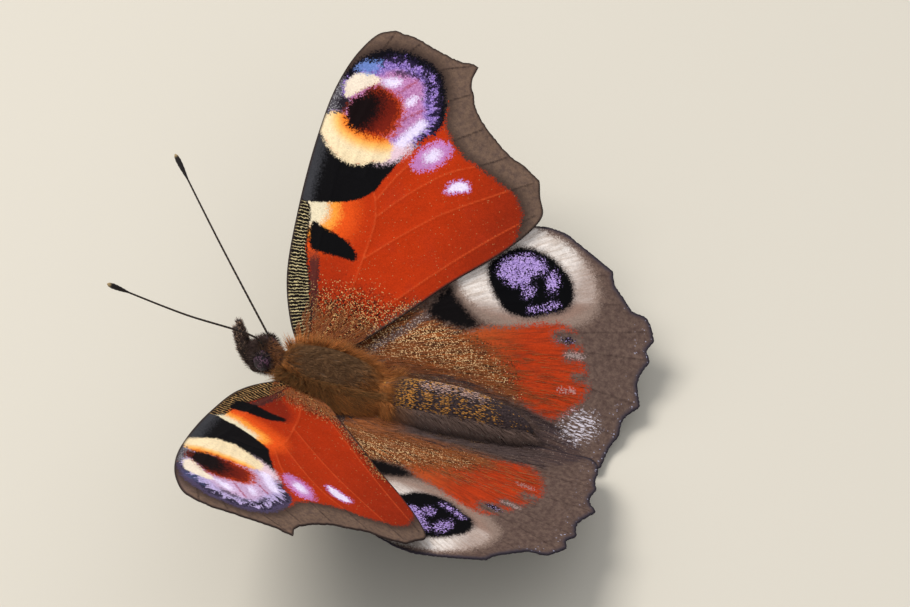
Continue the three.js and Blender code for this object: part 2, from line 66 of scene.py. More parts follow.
HINGE = {"fore": np.array([3.46, -1.8, 0.3]), "hind": np.array([3.22, 1.77, -1.2])}
POSE = {
    ("fore", "left"): (0.46, 0.285, 1.2),
    ("fore", "right"): (0.465, 0.315, 0.0),
    ("hind", "left"): (0.228, 0.098, -4.3),
    ("hind", "right"): (0.305, 0.235, 0.0),
}
FORE_OUTLINE = [
    [(-1.5, -1.3), (0.4, -2.7), (4, -4.4), (10, -5.7), (17, -6.6), (22, -6.75), (25.8, -6.1), (28.2, -4.9),
     (29.05, -3), (28.85, -0.6), (28.6, 1.9), (28.7, 3.8)],
    [(28.7, 3.8), (27.3, 3.75), (26, 4.3)],
    [(26, 4.3), (24.9, 5.15), (23.7, 6.45)],
    [(23.7, 6.45), (23.05, 7.7), (22.15, 9.1)],
    [(22.15, 9.1), (21.9, 10.6), (21.1, 12.2)],
    [(21.1, 12.2), (19.7, 12.75), (18.3, 13.5), (16.6, 13.1), (13.4, 11.4), (9, 8.35), (5.2, 6.05),
     (1.5, 3.7), (-0.4, 2.3), (-1.5, 1.2)],
]
HIND_OUTLINE = [
    [(-0.9, -1.2), (1.6, -2.1), (6, -1.4), (10.8, 1.4), (14.9, 5.4), (17.4, 8.8), (18.15, 11.9), (17.4, 14.3),
     (16.1, 17.4)],
    [(16.1, 17.4), (14.9, 18), (13.8, 19.2)],
    [(13.8, 19.2), (13, 20.1), (12.75, 21.5), (10.9, 22.7)],
    [(10.9, 22.7), (9.8, 22.4), (8.7, 22.85)],
    [(8.7, 22.85), (6.8, 22.5), (4.3, 23.3)],
    [(4.3, 23.3), (2.8, 22.4), (1, 22.4)],
    [(1, 22.4), (-0.4, 22), (-1.6, 21.9)],
]
INNER_EDGE = [(0.3, 22.6), (0.25, 20.5), (0.3, 18.0), (0.6, 15.0), (1.2, 11.5), (1.9, 8.0), (2.1, 5.5)]
VEINS = {
    "fore": [
        [(-0.6, -1.2), (3, -3.1), (8, -4.4), (13.6, -5.6)],
        [(-0.8, -0.6), (3, -1.7), (8, -3), (14, -3.9), (20, -4.6), (25, -4.6), (28.5, -3.9)],
        [(13, -3.75), (17.5, -5), (21.5, -6.1)],
        [(15.5, -4.05), (20, -3.8), (25, -3.2), (28.4, -1.6)],
        [(14.6, -2.9), (19, -2.9), (23.3, -1.8), (26.6, 0.6), (28.4, 3.2)],
        [(14.8, -1.6), (19, -1.6), (22.5, 0.4), (24.3, 2.3), (25.8, 4)],
        [(13.4, 0), (17.5, 1.4), (20.8, 3.8), (23.3, 6.1)],
        [(12, 0.55), (15, 2.3), (18.3, 4.8), (20.3, 7.3), (21.8, 8.9)],
        [(8, 0.9), (11, 2.9), (14.2, 5.3), (17.6, 8.6), (20.6, 11.8)],
        [(-0.8, 0.1), (4, 0.9), (8.5, 0.85), (12, 0.5), (14.6, -1), (14.6, -3.3)],
        [(-0.7, 0.7), (4, 3.7), (9, 6.7), (14, 10), (17.9, 12.9)],
    ],
    "hind": [
        [(-0.4, -0.6), (4, -1), (9.5, 1.6), (14.2, 5.6), (17, 9.6)],
        [(2.6, 0.6), (7, 3), (12.5, 7.2), (17.2, 12.6)],
        [(-0.4, 0.2), (4, 1.7), (7, 4.2), (11.2, 9.6), (15.3, 16.8)],
        [(6.2, 3.4), (9.4, 9.2), (13, 18.7)],
        [(4.2, 6.2), (7.4, 12.4), (11.4, 21.7)],
        [(-0.4, 0.7), (2.6, 3.6), (4.8, 8), (6.6, 13.5), (8.8, 22.3)],
        [(2.9, 4.1), (4.2, 11), (4.5, 22.6)],
        [(-0.4, 1), (1, 8), (1.4, 15), (1, 21.8)],
    ],
}

# ---- geometry helpers


def unit(v):
    return v / np.linalg.norm(v, axis=1)[:, None]


def smooth(v, low, high):
    """0 at low and 1 at high, smooth between."""
    t = np.clip((v - low) / (high - low), 0, 1)
    return t * t * (3 - 2 * t)


def spline(points, step=0.2, closed=False):
    """Points along a centripetal Catmull-Rom curve."""
    p = np.asarray(points, float)
    if closed:
        p = np.vstack([p[-1], p, p[0], p[1]])
    else:
        p = np.vstack([2 * p[0] - p[1], p, 2 * p[-1] - p[-2]])
    out = []
    for a, b, c, d in zip(p, p[1:], p[2:], p[3:]):
        n = max(1, int(round(np.linalg.norm(c - b) / step)))
        ka, kb, kc = (max(np.linalg.norm(v), 1e-6) ** 0.5 for v in (b - a, c - b, d - c))
        m1 = ((b - a) / ka - (c - a) / (ka + kb) + (c - b) / kb) * kb
        m2 = ((c - b) / kb - (d - b) / (kb + kc) + (d - c) / kc) * kb
        t = (np.arange(n) / n)[:, None]
        out.append((2 * t**3 - 3 * t**2 + 1) * b + (t**3 - 2 * t**2 + t) * m1
                   + (3 * t**2 - 2 * t**3) * c + (t**3 - t**2) * m2)
    if not closed:
        out.append(p[-2:-1])
    return np.vstack(out)


def line_distance(q, line):
    """Distance from each flat point to an open line."""
    line = np.asarray(line, float)
    best = np.full(len(q), 1e9)
    for a, b in zip(line, line[1:]):
        d = b - a
        t = np.clip(((q - a) @ d) / max(d @ d, 1e-12), 0, 1)
        best = np.minimum(best, np.linalg.norm(q - a - t[:, None] * d, axis=1))
    return best


def rim_distance(q, loop):
    """Distance from each flat point to a closed line."""
    return line_distance(q, np.vstack([loop, loop[:1]]))


def inside(q, loop):
    a, b = loop, np.roll(loop, -1, axis=0)
    result = np.zeros(len(q), bool)
    for (ax, ay), (bx, by) in zip(a, b):
        if ay == by:
            continue
        hit = (ay > q[:, 1]) != (by > q[:, 1])
        result ^= hit & (q[:, 0] < (bx - ax) * (q[:, 1] - ay) / (by - ay) + ax)
    return result


def region(q, points, curved=True):
    """Signed distance to a closed shape, positive inside."""
    loop = spline(points, 0.35, closed=True) if curved else np.asarray(points, float)
    d = rim_distance(q, loop)
    return np.where(inside(q, loop), d, -d)


def blob(q, x, y, rx, ry, turn=0.0):
    """Rough signed distance to an ellipse, positive inside."""
    a = math.radians(turn)
    dx, dy = q[:, 0] - x, q[:, 1] - y
    u, v = dx * math.cos(a) + dy * math.sin(a), dy * math.cos(a) - dx * math.sin(a)
    return (1 - np.hypot(u / rx, v / ry)) * min(rx, ry)


def make(name, verts, faces, materials, marks, slots=None, uv=None):
    """One mesh piece, from points in the body's frame. Marks hold a number or a vector for each point."""
    mesh = bpy.data.meshes.new(name)
    mesh.from_pydata(row(verts).tolist(), [], faces)
    for material in materials:
        mesh.materials.append(material)
    if slots is not None:
        mesh.polygons.foreach_set("material_index", np.asarray(slots, np.int32))
    mesh.polygons.foreach_set("use_smooth", np.ones(len(mesh.polygons), bool))
    for key, values in marks.items():
        data = np.asarray(values, np.float32)
        kind, field = ("FLOAT", "value") if data.ndim == 1 else ("FLOAT_VECTOR", "vector")
        mesh.attributes.new(key, kind, "POINT").data.foreach_set(field, data.ravel())
    if uv is not None:
        corner = np.empty(len(mesh.loops), np.int32)
        mesh.loops.foreach_get("vertex_index", corner)
        data = np.asarray(uv, np.float32)[corner].ravel()
        mesh.uv_layers.new(name="OFBake").data.foreach_set("uv", data)
    mesh.update()
    piece = bpy.data.objects.new(name, mesh)
    bpy.context.collection.objects.link(piece)
    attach(piece, "root")
    return piece


def limb(name, side, verts, faces, material, marks):
    """One of a pair of pieces, from the left one's points and faces."""
    if side == "right":
        faces = [f[::-1] for f in faces]
    piece = make(f"{name}_{side}_look", verts * SIGN[side], faces, [material], marks)
    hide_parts(f"{name}_{side}")


def ring_faces(rings, sides):
    """Faces between rings of points, and a cap at each end."""
    faces = []
    for i in range(rings - 1):
        for j in range(sides):
            k = (j + 1) % sides
            faces.append((i * sides + j, i * sides + k, (i + 1) * sides + k, (i + 1) * sides + j))
    faces.append(tuple(range(sides - 1, -1, -1)))
    faces.append(tuple((rings - 1) * sides + j for j in range(sides)))
    return faces


def tube(points, radii, sides, up):
    """A tube along points: its verts, its faces and each vert's share of the way along."""
    p = np.asarray(points, float)
    along = unit(np.gradient(p, axis=0))
    side = unit(np.cross(along, up))
    top = np.cross(side, along)
    a = (2 * np.pi * (np.arange(sides) + 0.5) / sides)[None, :, None]
    radii = np.asarray(radii, float)[:, None, None]
    rings = p[:, None] + radii * (side[:, None] * np.sin(a) + top[:, None] * np.cos(a))
    faces = [f[::-1] for f in ring_faces(len(p), sides)]
    return rings.reshape(-1, 3), faces, np.repeat(np.linspace(0, 1, len(p)), sides)


# ---- material helpers


def linear(rgb):
    return tuple(c / 255 / 12.92 if c <= 10.3 else ((c / 255 + 0.055) / 1.055) ** 2.4 for c in rgb) + (1.0,)


class Value:
    """A node's output, for sums in plain Python."""

    def __init__(self, look, socket):
        self.look = look
        self.socket = socket

    def __add__(self, other):
        return self.look.math("ADD", self, other)

    def __sub__(self, other):
        return self.look.math("SUBTRACT", self, other)

    def __rsub__(self, other):
        return self.look.math("SUBTRACT", other, self)

    def __mul__(self, other):
        return self.look.math("MULTIPLY", self, other)

    def output(self, key):
        """Another output of the same node."""
        return Value(self.look, self.socket.node.outputs[key])

    def ramp(self, low, high):
        """0 at low and 1 at high, smooth between."""
        return self.look.node("MapRange", self, low, high, interpolation_type="SMOOTHSTEP")


class Look:
    """A small builder of node materials. A colour is a node's output or three numbers up to 255."""

    def __init__(self, name, roughness=0.7, specular=0.3):
        self.material = bpy.data.materials.new(name)
        self.material.use_nodes = True
        self.tree = self.material.node_tree
        self.tree.nodes.clear()
        out = self.tree.nodes.new("ShaderNodeOutputMaterial")
        self.shader = self.tree.nodes.new("ShaderNodeBsdfPrincipled")
        self.tree.links.new(self.shader.outputs[0], out.inputs[0])
        self.shader.inputs["Roughness"].default_value = roughness
        self.shader.inputs["Specular IOR Level"].default_value = specular

    def feed(self, socket, value):
        """Links a value to an input, or sets the input's own one."""
        if isinstance(value, Value):
            self.tree.links.new(value.socket, socket)
        elif value is not None:
            socket.default_value = value

    def node(self, kind, *inputs, **settings):
        """A new node's first output."""
        node = self.tree.nodes.new("ShaderNode" + kind)
        for key, value in settings.items():
            setattr(node, key, value)
        for socket, value in zip(node.inputs, inputs):
            self.feed(socket, value)
        return Value(self, node.outputs[0])

    def math(self, operation, a, b=0.0):
        return self.node("Math", a, b, operation=operation)

    def __getitem__(self, mark):
        return self.node("Attribute", attribute_name=mark).output("Fac")

    def vector(self, name, scale=(1, 1, 1)):
        place = self.node("Attribute", attribute_name=name).output("Vector")
        return self.node("Mapping", place, None, None, scale, vector_type="POINT")

    def noise(self, vector, scale, detail=3.0, rough=0.5):
        return self.node("TexNoise", vector, None, scale, detail, rough)

    def cells(self, vector, scale):
        """Two random values for each small cell, and the distance from its centre."""
        cell = self.node("TexVoronoi", vector, None, scale)
        split = self.node("SeparateColor", cell.output("Color"))
        return split, split.output(1), cell.output("Distance")

    def mix(self, below, above, share, blend="MIX"):
        result = self.node("Mix", data_type="RGBA", blend_type=blend, clamp_factor=True)
        inputs = result.socket.node.inputs
        for i, value in ((0, share), (6, below), (7, above)):
            self.feed(inputs[i], linear(value) if isinstance(value, tuple) else value)
        return result.output(2)

    def brighten(self, colour, amount):
        return self.mix(colour, self.node("CombineColor", amount, amount, amount), 1.0, "MULTIPLY")

    def bump(self, height, distance, strength):
        normal = self.node("Bump")
        inputs = normal.socket.node.inputs
        self.feed(inputs["Strength"], strength)
        self.feed(inputs["Distance"], distance)
        self.feed(inputs["Height"], height)
        self.feed(self.shader.inputs["Normal"], normal)

    def colour(self, value):
        """Gives the shader its colour, and the finished material back."""
        self.feed(self.shader.inputs["Base Color"], linear(value) if isinstance(value, tuple) else value)
        return self.material


class WingLook(Look):
    """Adds the dusty mosaic of scales. Each shape's edge follows whole scales."""

    def __init__(self, name):
        super().__init__(name, roughness=0.75, specular=0.04)
        self.flat = self.vector("flat")
        self.pick, self.pick2, self.off_centre = self.cells(self.flat, 10.0)
        self.fine = self.noise(self.flat, 2.2, 4.0, 0.6)
        self.broad = self.noise(self.flat, 0.45, 3.0)
        self.bump(self.off_centre, 0.00002, 0.5)

    def edge(self, shape, soft=0.06, ragged=0.12, wave=0.2):
        """Share of a shape's colour, from its signed distance."""
        d = self[shape] if isinstance(shape, str) else shape
        d = d + (self.pick - 0.5) * (ragged * 2) + (self.fine - 0.5) * (wave * 2)
        return d.ramp(-soft, soft)

    def lay(self, below, colour, shape, soft=0.06, ragged=0.12, wave=0.2, strength=1.0):
        share = self.edge(shape, soft, ragged, wave)
        if strength != 1.0:
            share = share * strength
        return self.mix(below, colour, share)

    def speckle(self, dark, light, share_light):
        """Single scales of a light colour on a dark one."""
        chosen = (share_light - self.pick2).ramp(-0.04, 0.04)
        return self.mix(dark, light, chosen * self.off_centre.ramp(0.56, 0.38))

    def finish(self, colour):
        grain = (self.pick2 * 0.22 + 0.86) * (self.broad * 0.3 + 0.87)
        return self.colour(self.brighten(colour, grain))


# ---- wings

WING_STEP = 0.17
# of rows of even triangles
ROW_SPACING = 0.866
HALF_THICK = 0.055
# fine streaks fan out from here: ahead of the hindwing's root, and the forewing's eyespot
FAN_HUB = {"hind": np.array([-1.0, -6.0]), "fore": np.array([20.5, -1.5])}
# sets the right wing's pattern of scales apart from the left one's
PATTERN_SHIFT = 40


def wing_basis(rise, fall, sweep):
    """The wing's own left, rear and up directions."""
    n = np.array([-rise, fall, 1.0])
    n /= np.linalg.norm(n)
    u = np.array([1.0, 0, 0]) - n[0] * n
    u /= np.linalg.norm(u)
    v = np.cross(n, u)
    a = math.radians(sweep)
    return np.array([u * math.cos(a) + v * math.sin(a), v * math.cos(a) - u * math.sin(a), n])


def wing_height(kind, side, q):
    """Height of the wing's middle above its flat plane."""
    x, y = q[:, 0], q[:, 1]
    if kind == "fore":
        return -1.2 * (y / 20) ** 2 - 0.12
    h = -0.75 * np.exp(-(x**2 + y**2) / 5.5**2) + 0.25 * (np.maximum(x, 0) / 16) ** 2 + 0.14
    if side == "right":
        return h + (np.minimum(x, 0) / 3.3) ** 2
    line = 1.0 - 0.24 * np.maximum(y - 9, 0)
    return h - 0.7 * smooth(line - x, 0, 2.6) * smooth(y, 2, 8)


BODY = np.array([
    # y, centre height, half width, half height
    (-6.85, 0.45, 0.2, 0.25), (-6.75, 0.46, 0.5, 0.6), (-6.4, 0.5, 0.82, 1.1), (-5.7, 0.55, 0.97, 1.42),
    (-4.9, 0.35, 0.97, 1.3), (-4.3, 0.0, 0.9, 1.0), (-4.0, -0.35, 1.1, 1.15), (-3.2, -0.65, 1.8, 1.95),
    (-1.8, -0.95, 2.3, 2.4), (-0.2, -1.2, 2.5, 2.55), (1.6, -1.45, 2.4, 2.4), (3.0, -1.6, 2.0, 2.0),
    (4.1, -1.7, 1.35, 1.4), (4.5, -1.7, 1.25, 1.3), (6.0, -1.7, 1.6, 1.6), (9.0, -1.7, 1.75, 1.7),
    (12.5, -1.95, 1.6, 1.55), (15.3, -2.45, 1.1, 1.1), (16.7, -2.85, 0.5, 0.55), (17.1, -2.98, 0.15, 0.15),
])
BODY_CURVE = spline(BODY, 0.08)


def body_at(y):
    order = BODY_CURVE[:, 0]
    return tuple(np.interp(y, order, BODY_CURVE[:, k]) for k in (1, 2, 3))


def clear_of_body(p, gap, start, end):
    """Points pushed out sideways or down until they are clear of the abdomen."""
    zc, rx, rz = body_at(p[:, 1])
    dz = p[:, 2] - zc
    k = np.hypot(p[:, 0] / (rx + gap), dz / (rz + gap))
    move = (k < 1) & (p[:, 1] > start) & (p[:, 1] < end)
    k = np.where(move, np.maximum(k, 0.2), 1)
    return np.c_[p[:, 0] / k, p[:, 1], zc + dz / k]


def wing_place(kind, side, q, lift):
    """Points of the flat wing in the body's frame, lifted off its middle."""
    basis = wing_basis(*POSE[kind, side])
    p = HINGE[kind] + np.c_[q, wing_height(kind, side, q)] @ basis
    if kind == "hind":
        p = clear_of_body(p, gap=0.25, start=4.6, end=17.6)
    return (p + np.outer(np.broadcast_to(lift, len(q)), basis[2])) * SIGN[side]


def wing_loop(kind, side):
    """The wing's flat outline, with the fine teeth of its outer margin."""
    stretches = FORE_OUTLINE
    if kind == "hind":
        u, v, _ = wing_basis(*POSE[kind, side])
        det = u[0] * v[1] - u[1] * v[0]
        inner = []
        for x, y in INNER_EDGE:
            dx, dy = (x, y) - HINGE["hind"][:2]
            inner.append(((dx * v[1] - dy * v[0]) / det, (dy * u[0] - dx * u[1]) / det))
        stretches = HIND_OUTLINE + [[HIND_OUTLINE[-1][-1]] + inner + [(-1.0, 1.5)]]
    loop = np.vstack([spline(s, WING_STEP)[:-1] for s in stretches])
    tips = np.array([v[-1] for v in VEINS[kind]])
    to_tip = np.min(np.linalg.norm(loop[:, None] - tips[None], axis=2), axis=1)
    middle = loop.mean(0)
    outward = (loop - middle) / np.linalg.norm(loop - middle, axis=1)[:, None]
    if kind == "fore":
        outer = smooth(loop[:, 0], 20.5, 22) * smooth(loop[:, 1], -5.2, -3.6)
    else:
        outer = np.maximum(smooth(loop[:, 0], 14.4, 15.4), smooth(loop[:, 1], 14.4, 15.4))
    bite = 0.08 * RNG.random(len(loop)) + 0.2 * smooth(to_tip, 0.15, 0.8)
    return loop - outward * (bite * outer)[:, None]


def wing(kind, side, shapes, materials):
    """A thin wing, its outline filled with small triangles above and below, and its veins raised."""
    loop = wing_loop(kind, side)
    x0, y0 = loop.min(0)
    x1, y1 = loop.max(0)
    gx, gy = np.meshgrid(np.arange(x0, x1, WING_STEP), np.arange(y0, y1, WING_STEP * ROW_SPACING))
    gx[::2] += WING_STEP / 2
    grid = np.c_[gx.ravel(), gy.ravel()]
    grid = grid[inside(grid, loop)]
    grid = grid[rim_distance(grid, loop) > WING_STEP * 0.55]
    n = len(loop)
    points = [Vector(p) for p in np.vstack([loop, grid]).tolist()]
    sides = [(i, (i + 1) % n) for i in range(n)]
    verts, _, tris, _, _, _ = delaunay_2d_cdt(points, sides, [list(range(n))], 1, 1e-5)
    q = np.array([(v.x, v.y) for v in verts])
    tris = np.array([t for t in tris if len(t) == 3])
    a, b, c = q[tris[:, 0]], q[tris[:, 1]], q[tris[:, 2]]
    turn = (b[:, 0] - a[:, 0]) * (c[:, 1] - a[:, 1]) - (c[:, 0] - a[:, 0]) * (b[:, 1] - a[:, 1])
    tris = np.where((turn < 0)[:, None], tris[:, ::-1], tris)
    vein = np.min([line_distance(q, spline(v, 0.4)) for v in VEINS[kind]], axis=0)
    root = np.linalg.norm(q, axis=1)
    ridge = 0.06 * np.exp(-(vein / 0.1) ** 2) * np.clip(1.5 - root / 25, 0.4, 1.2)
    sag = -0.05 * np.clip(vein / 0.9, 0, 1) ** 2
    top = wing_place(kind, side, q, HALF_THICK + ridge + sag)
    under = wing_place(kind, side, q, -HALF_THICK - 0.5 * ridge + sag)
    m = len(q)
    edges = {}
    for t in tris.tolist():
        for e in ((t[0], t[1]), (t[1], t[2]), (t[2], t[0])):
            if e[::-1] in edges:
                del edges[e[::-1]]
            else:
                edges[e] = True
    rim_faces = [(j, i, i + m, j + m) for i, j in edges]
    faces = tris.tolist() + (tris[:, ::-1] + m).tolist() + rim_faces
    if side == "right":
        faces = [tuple(reversed(f)) for f in faces]
    slots = [0] * len(tris) + [1] * len(tris) + [0] * len(rim_faces)
    zero = np.zeros(m)
    spoke = q - FAN_HUB[kind]
    marks = shapes(q, side) | {
        "vein": 0.06 - vein,
        "rim": rim_distance(q, loop),
        "flat": np.c_[q + (PATTERN_SHIFT if side == "right" else 0), zero],
        "ray": np.c_[np.arctan2(spoke[:, 1], spoke[:, 0]) * 6, np.linalg.norm(spoke, axis=1), zero],
    }
    if kind == "fore":
        # the way along the front edge, shorter on the left so that its bars are wider, and the way in from it
        costa = spline(FORE_OUTLINE[0][:6], 0.1)
        along = np.r_[0, np.cumsum(np.linalg.norm(np.diff(costa, axis=0), axis=1))]
        along = along * (0.62 if side == "left" else 1.0)
        near = np.array([np.argmin(np.sum((costa - p) ** 2, axis=1)) for p in q])
        marks["bars"] = np.c_[along[near], line_distance(q, costa), zero]
    marks = {key: np.concatenate([v, v]) for key, v in marks.items()}
    piece = make(f"{kind}wing_{side}_look", np.vstack([top, under]), faces, materials, marks, slots)
    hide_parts(f"{kind}wing_{side}")


# ---- the wings' markings

FORE_DISC = [(19.1, -4.8), (20.3, -5.25), (21.2, -5.1), (22, -4.6), (23, -4), (23.5, -3.5),
    (23.3, -2.75), (23, -1.8), (22.2, -1), (21, -0.9), (19.9, -1), (19.1, -1.6), (18.75, -2.7),
    (18.75, -3.9)]
FORE_MARGIN = [(23, -6.9), (23.9, -6.3), (25.2, -5.75), (26.2, -4.9), (26.95, -3.75), (27.3, -2.5),
    (27.35, -1.3), (27.15, 0.05), (26.6, 1.1), (25.5, 1.85), (24.4, 2.35), (23.1, 2.8), (22.2, 3),
    (21, 4.2), (20.2, 5.5), (19.8, 7.2), (19.4, 9), (18.9, 10.7), (17.6, 11.9), (15.8, 12.1),
    (14.2, 12.2), (16, 16), (30, 16), (32, -9)]
FORE_REGIONS = {
    "costa": [(-2, -0.4), (0.1, -0.85), (2, -1.5), (5, -2.85), (7.1, -3.85), (8.9, -4.35), (10.3, -4.75),
        (11.2, -5.6), (11.4, -7), (5, -6), (-2, -4)],
    "patch1": [(7.15, -3.35), (8, -3.95), (9.55, -4.15), (9.3, -3), (9.2, -1.9), (9, -0.9),
        (8.5, -0.1), (7.9, 0.45), (7.5, 0.25), (7.45, -0.6), (7.3, -1.6), (7.1, -2.5)],
    "patch2": [(11, -5.3), (11.2, -6.6), (14, -7.2), (18.2, -7), (18.1, -6.6), (16.9, -5.8),
        (16.1, -4.7), (15.8, -3.4), (15.95, -2.5), (16.6, -1.6), (17, -0.8), (17.75, 0.15), (18.5, 0.85),
        (17, 0.45), (15.4, -0.05), (14.1, -0.4), (13.2, -1.05), (12.3, -2.2), (11.7, -3.4), (11.2, -4.6)],
    "ring": [(22.6, -6.6), (24.4, -6.7), (26, -6.1), (27, -5), (27.6, -3.8), (27.9, -2.5),
        (27.9, -1.3), (27.7, 0.2), (27.1, 1.3), (26, 2.1), (24.6, 2.6), (23.1, 2.75), (21.9, 2.75),
        (21, 2.2), (22, 0), (22, -4)],
    "cream_left": [(18, -6.9), (16.7, -5.8), (15.9, -4.7), (15.6, -3.4), (15.8, -2.5), (16.5, -1.5),
        (17.2, -0.4), (18.3, -0.3), (19, -0.9), (19.3, -2.2), (19.4, -4), (19.9, -5.4), (19.3, -6.9)],
    "shoulder": [(19, -7), (19.5, -6.2), (19.9, -5.3), (20.6, -4.9), (21.3, -5.2), (21.4, -5.9),
        (22.6, -6.3), (23.4, -7)],
    "cream_right": [(21.2, -5.6), (22.2, -6.1), (23.5, -5.75), (24, -5.1), (24.15, -4.2), (23.9, -3.4),
        (23.4, -3.6), (22.8, -4.25), (22, -4.85)],
    "blue": [(24, -5.8), (24.9, -5.4), (25.4, -4.4), (25.6, -3.9), (24.4, -4.2), (24, -4.9)],
    "spot2": [(17.4, 1.75), (18.8, 1.65), (20.1, 2.45), (20.85, 3.3), (20.5, 4.35), (18.9, 4),
        (17.7, 3)],
    "spot1": [(16.5, 5.05), (17.6, 5.3), (18.2, 6.1), (18.1, 6.9), (17.5, 7), (16.9, 6.1)],
    # the cell, where the red is darkened as painted shade
    "cell": [(2.6, -1.2), (5, -2.2), (7.3, -3.1), (7.6, -1), (7, 0.3), (4.5, 0.2)],
    "eye": [(18, -6.9), (16.9, -5.8), (16.1, -4.7), (15.8, -3.4), (15.95, -2.5), (16.6, -1.6),
        (17, -0.8), (17.75, 0.15), (18.6, 0.9), (19.4, 1.5), (20.3, 1.9), (21.05, 2.3), (21.9, 2.55),
        (23.1, 2.2), (24.1, 1.85), (25.2, 1.45), (26.1, 0.9), (26.5, 0.1), (26.75, -1), (26.8, -2.3),
        (26.5, -3.2), (25.9, -4.1), (25.15, -4.7), (24.6, -5.4), (23.4, -5.95), (22.5, -6.9)],
}
HIND_REGIONS = {
    "red": [(5.4, 6.9), (6.6, 8.6), (7.7, 11), (8.9, 13.2), (9.4, 15), (8.8, 16.1), (7.6, 16.9),
        (5.9, 17.8), (4.2, 18.5), (2.7, 18.1), (1.2, 17.2), (0.4, 16.3), (0.7, 14.7), (1.3, 12.5),
        (1.4, 10), (2.5, 7), (4, 6)],
    "gold": [(-1, -2), (3, -1), (6.2, 2.5), (6, 6.5), (5, 9.5), (4.2, 11.5), (2.8, 12.8), (1.2, 13.4),
        (0.9, 10), (0.7, 6), (-0.5, 2)],
    "inner": [(0.9, -2), (0.8, 4), (0.9, 9.5), (0.4, 14), (-0.2, 18), (-1.2, 19.5), (-6, 20), (-6, -2)],
    "inner_gold": [(0.6, 3), (0.5, 8), (0.2, 11.5), (-1.5, 12.6), (-3, 11.5), (-3.2, 7), (-2, 3)],
    "pale": [(9.2, 5), (8.2, 6.4), (7.4, 8.2), (7.3, 10), (8, 12.2), (9, 14.6), (10, 16.2),
        (11.6, 17.2), (13.8, 16.8), (15.6, 15.4), (16.9, 13.4), (17.4, 11.2), (17.4, 9), (15.5, 6),
        (13.5, 4.4), (11.2, 4.2)],
    "ring": [(9.6, 5.8), (8.7, 6.8), (8.1, 8.4), (8.1, 10), (8.5, 12), (9.6, 14.4), (10.8, 15.7),
        (12.2, 16.5), (13.9, 16.3), (15.6, 15), (16.8, 12.9), (17.2, 11), (17.3, 9), (15.5, 6.2),
        (13.2, 5), (11.2, 4.8)],
    "black": [(11.2, 7.8), (12.5, 7.35), (13.8, 8), (14.9, 9), (15.3, 10.2), (15.2, 11.7),
        (14.5, 13.2), (13.3, 14.4), (11.8, 14.9), (10.7, 14.45), (10, 13.4), (9.2, 12.3), (8.85, 11),
        (9, 9.9), (9.9, 8.8)],
    "violet": [(12.5, 8.1), (13.7, 8.5), (14.4, 9.5), (14.8, 10.6), (14.4, 11.7), (13.8, 12),
        (12.9, 11.2), (11.8, 10.8), (11.3, 9.9), (11.6, 8.8)],
    "wedge": [(6.3, 3.9), (8.1, 4.2), (9.4, 4.9), (8.3, 6), (7.5, 7.3), (6.9, 8.3), (6.4, 8),
        (5.85, 6.6)],
}


def fore_shapes(q, side):
    """The forewing's markings, most of them as signed distances, positive inside."""
    x, y = q[:, 0], q[:, 1]
    left = side == "left"
    shapes = {name: region(q, points) for name, points in FORE_REGIONS.items()}
    if left:
        shapes["patch1"] = region(q + (1.1, 0.3), FORE_REGIONS["patch1"])
        shapes["spot1"] += 0.15
    # the left eyespot's disc is narrower and reaches closer to the front edge
    oval = (q - (21.1, -1.2)) * (1.28, 0.84) + (21.1, -1.2) if left else q
    if left:
        glow = 1.1 + line_distance(q, [(10.6, -5.2), (11.3, -3.6), (12.3, -2.1)])
    else:
        glow = np.hypot(x - 10.5, (y + 5.0) * 0.95)
    strip = line_distance(q, spline([(1.5, -1.1), (3, -1.65), (5, -2.35), (7.2, -3.2), (9.4, -3.95)]))
    flecks = line_distance(q, spline([(25.1, -2.4), (25.5, -1.2), (25.6, -0.1), (24.9, 0.55), (23.8, 0.85)]))
    rays = np.minimum(line_distance(q, [(23.0, -1.9), (25.1, -0.6)]),
                      line_distance(q, [(20.9, -0.8), (22.8, 0.85)]))
    rear = line_distance(q, [(3.0, 4.6), (10.0, 9.0) if left else (5.5, 6.2)])
    return shapes | {
        "glow": glow,
        "strip": 0.42 - strip,
        "pearl": blob(q, 18.2, -0.1, 1.7, 0.75, 40),
        "disc": region(oval - (0, 0.2), FORE_DISC) + 0.15,
        "disc_dark": blob(oval, 20.3, -4.3, 2.9, 1.75, 25),
        "shoulder_dark": blob(q, 20.6, -5.6, 0.85, 0.6),
        "dark_flecks": 0.28 - flecks,
        "white": np.maximum.reduce([
            blob(q, 24.1, -2.5, 0.42, 0.8, -28), blob(q, 23.2, -0.35, 0.6, 0.3, 25),
            0.42 - line_distance(q, [(19.2, 0.15), (20.4, 0.65), (21.5, 1.2)])]),
        "rays": 0.1 - rays,
        "spot2_white": blob(q, 19.2, 3.0, 0.85, 0.5, 30),
        "margin": region(q, FORE_MARGIN, curved=False),
        "base": np.maximum(1.15 - np.hypot(x, (y - 3) * 0.8) / (3.6 if left else 5.6), 0.6 - rear / 2.4),
        # 1 on the left wing: its painted sheen and shade, with violet, blue and pale marks whiter as at a
        #                     grazing angle and its red darker
        "left_sheen_shade": np.full(len(q), 1.0 if left else 0.0),
        "ash": 0.8 - line_distance(q, [(0.8, 4.0), (3.0, 5.4), (5.4, 6.8)]),
        "tail_dark": np.clip((y - 2) / 12, 0, 1),
    }


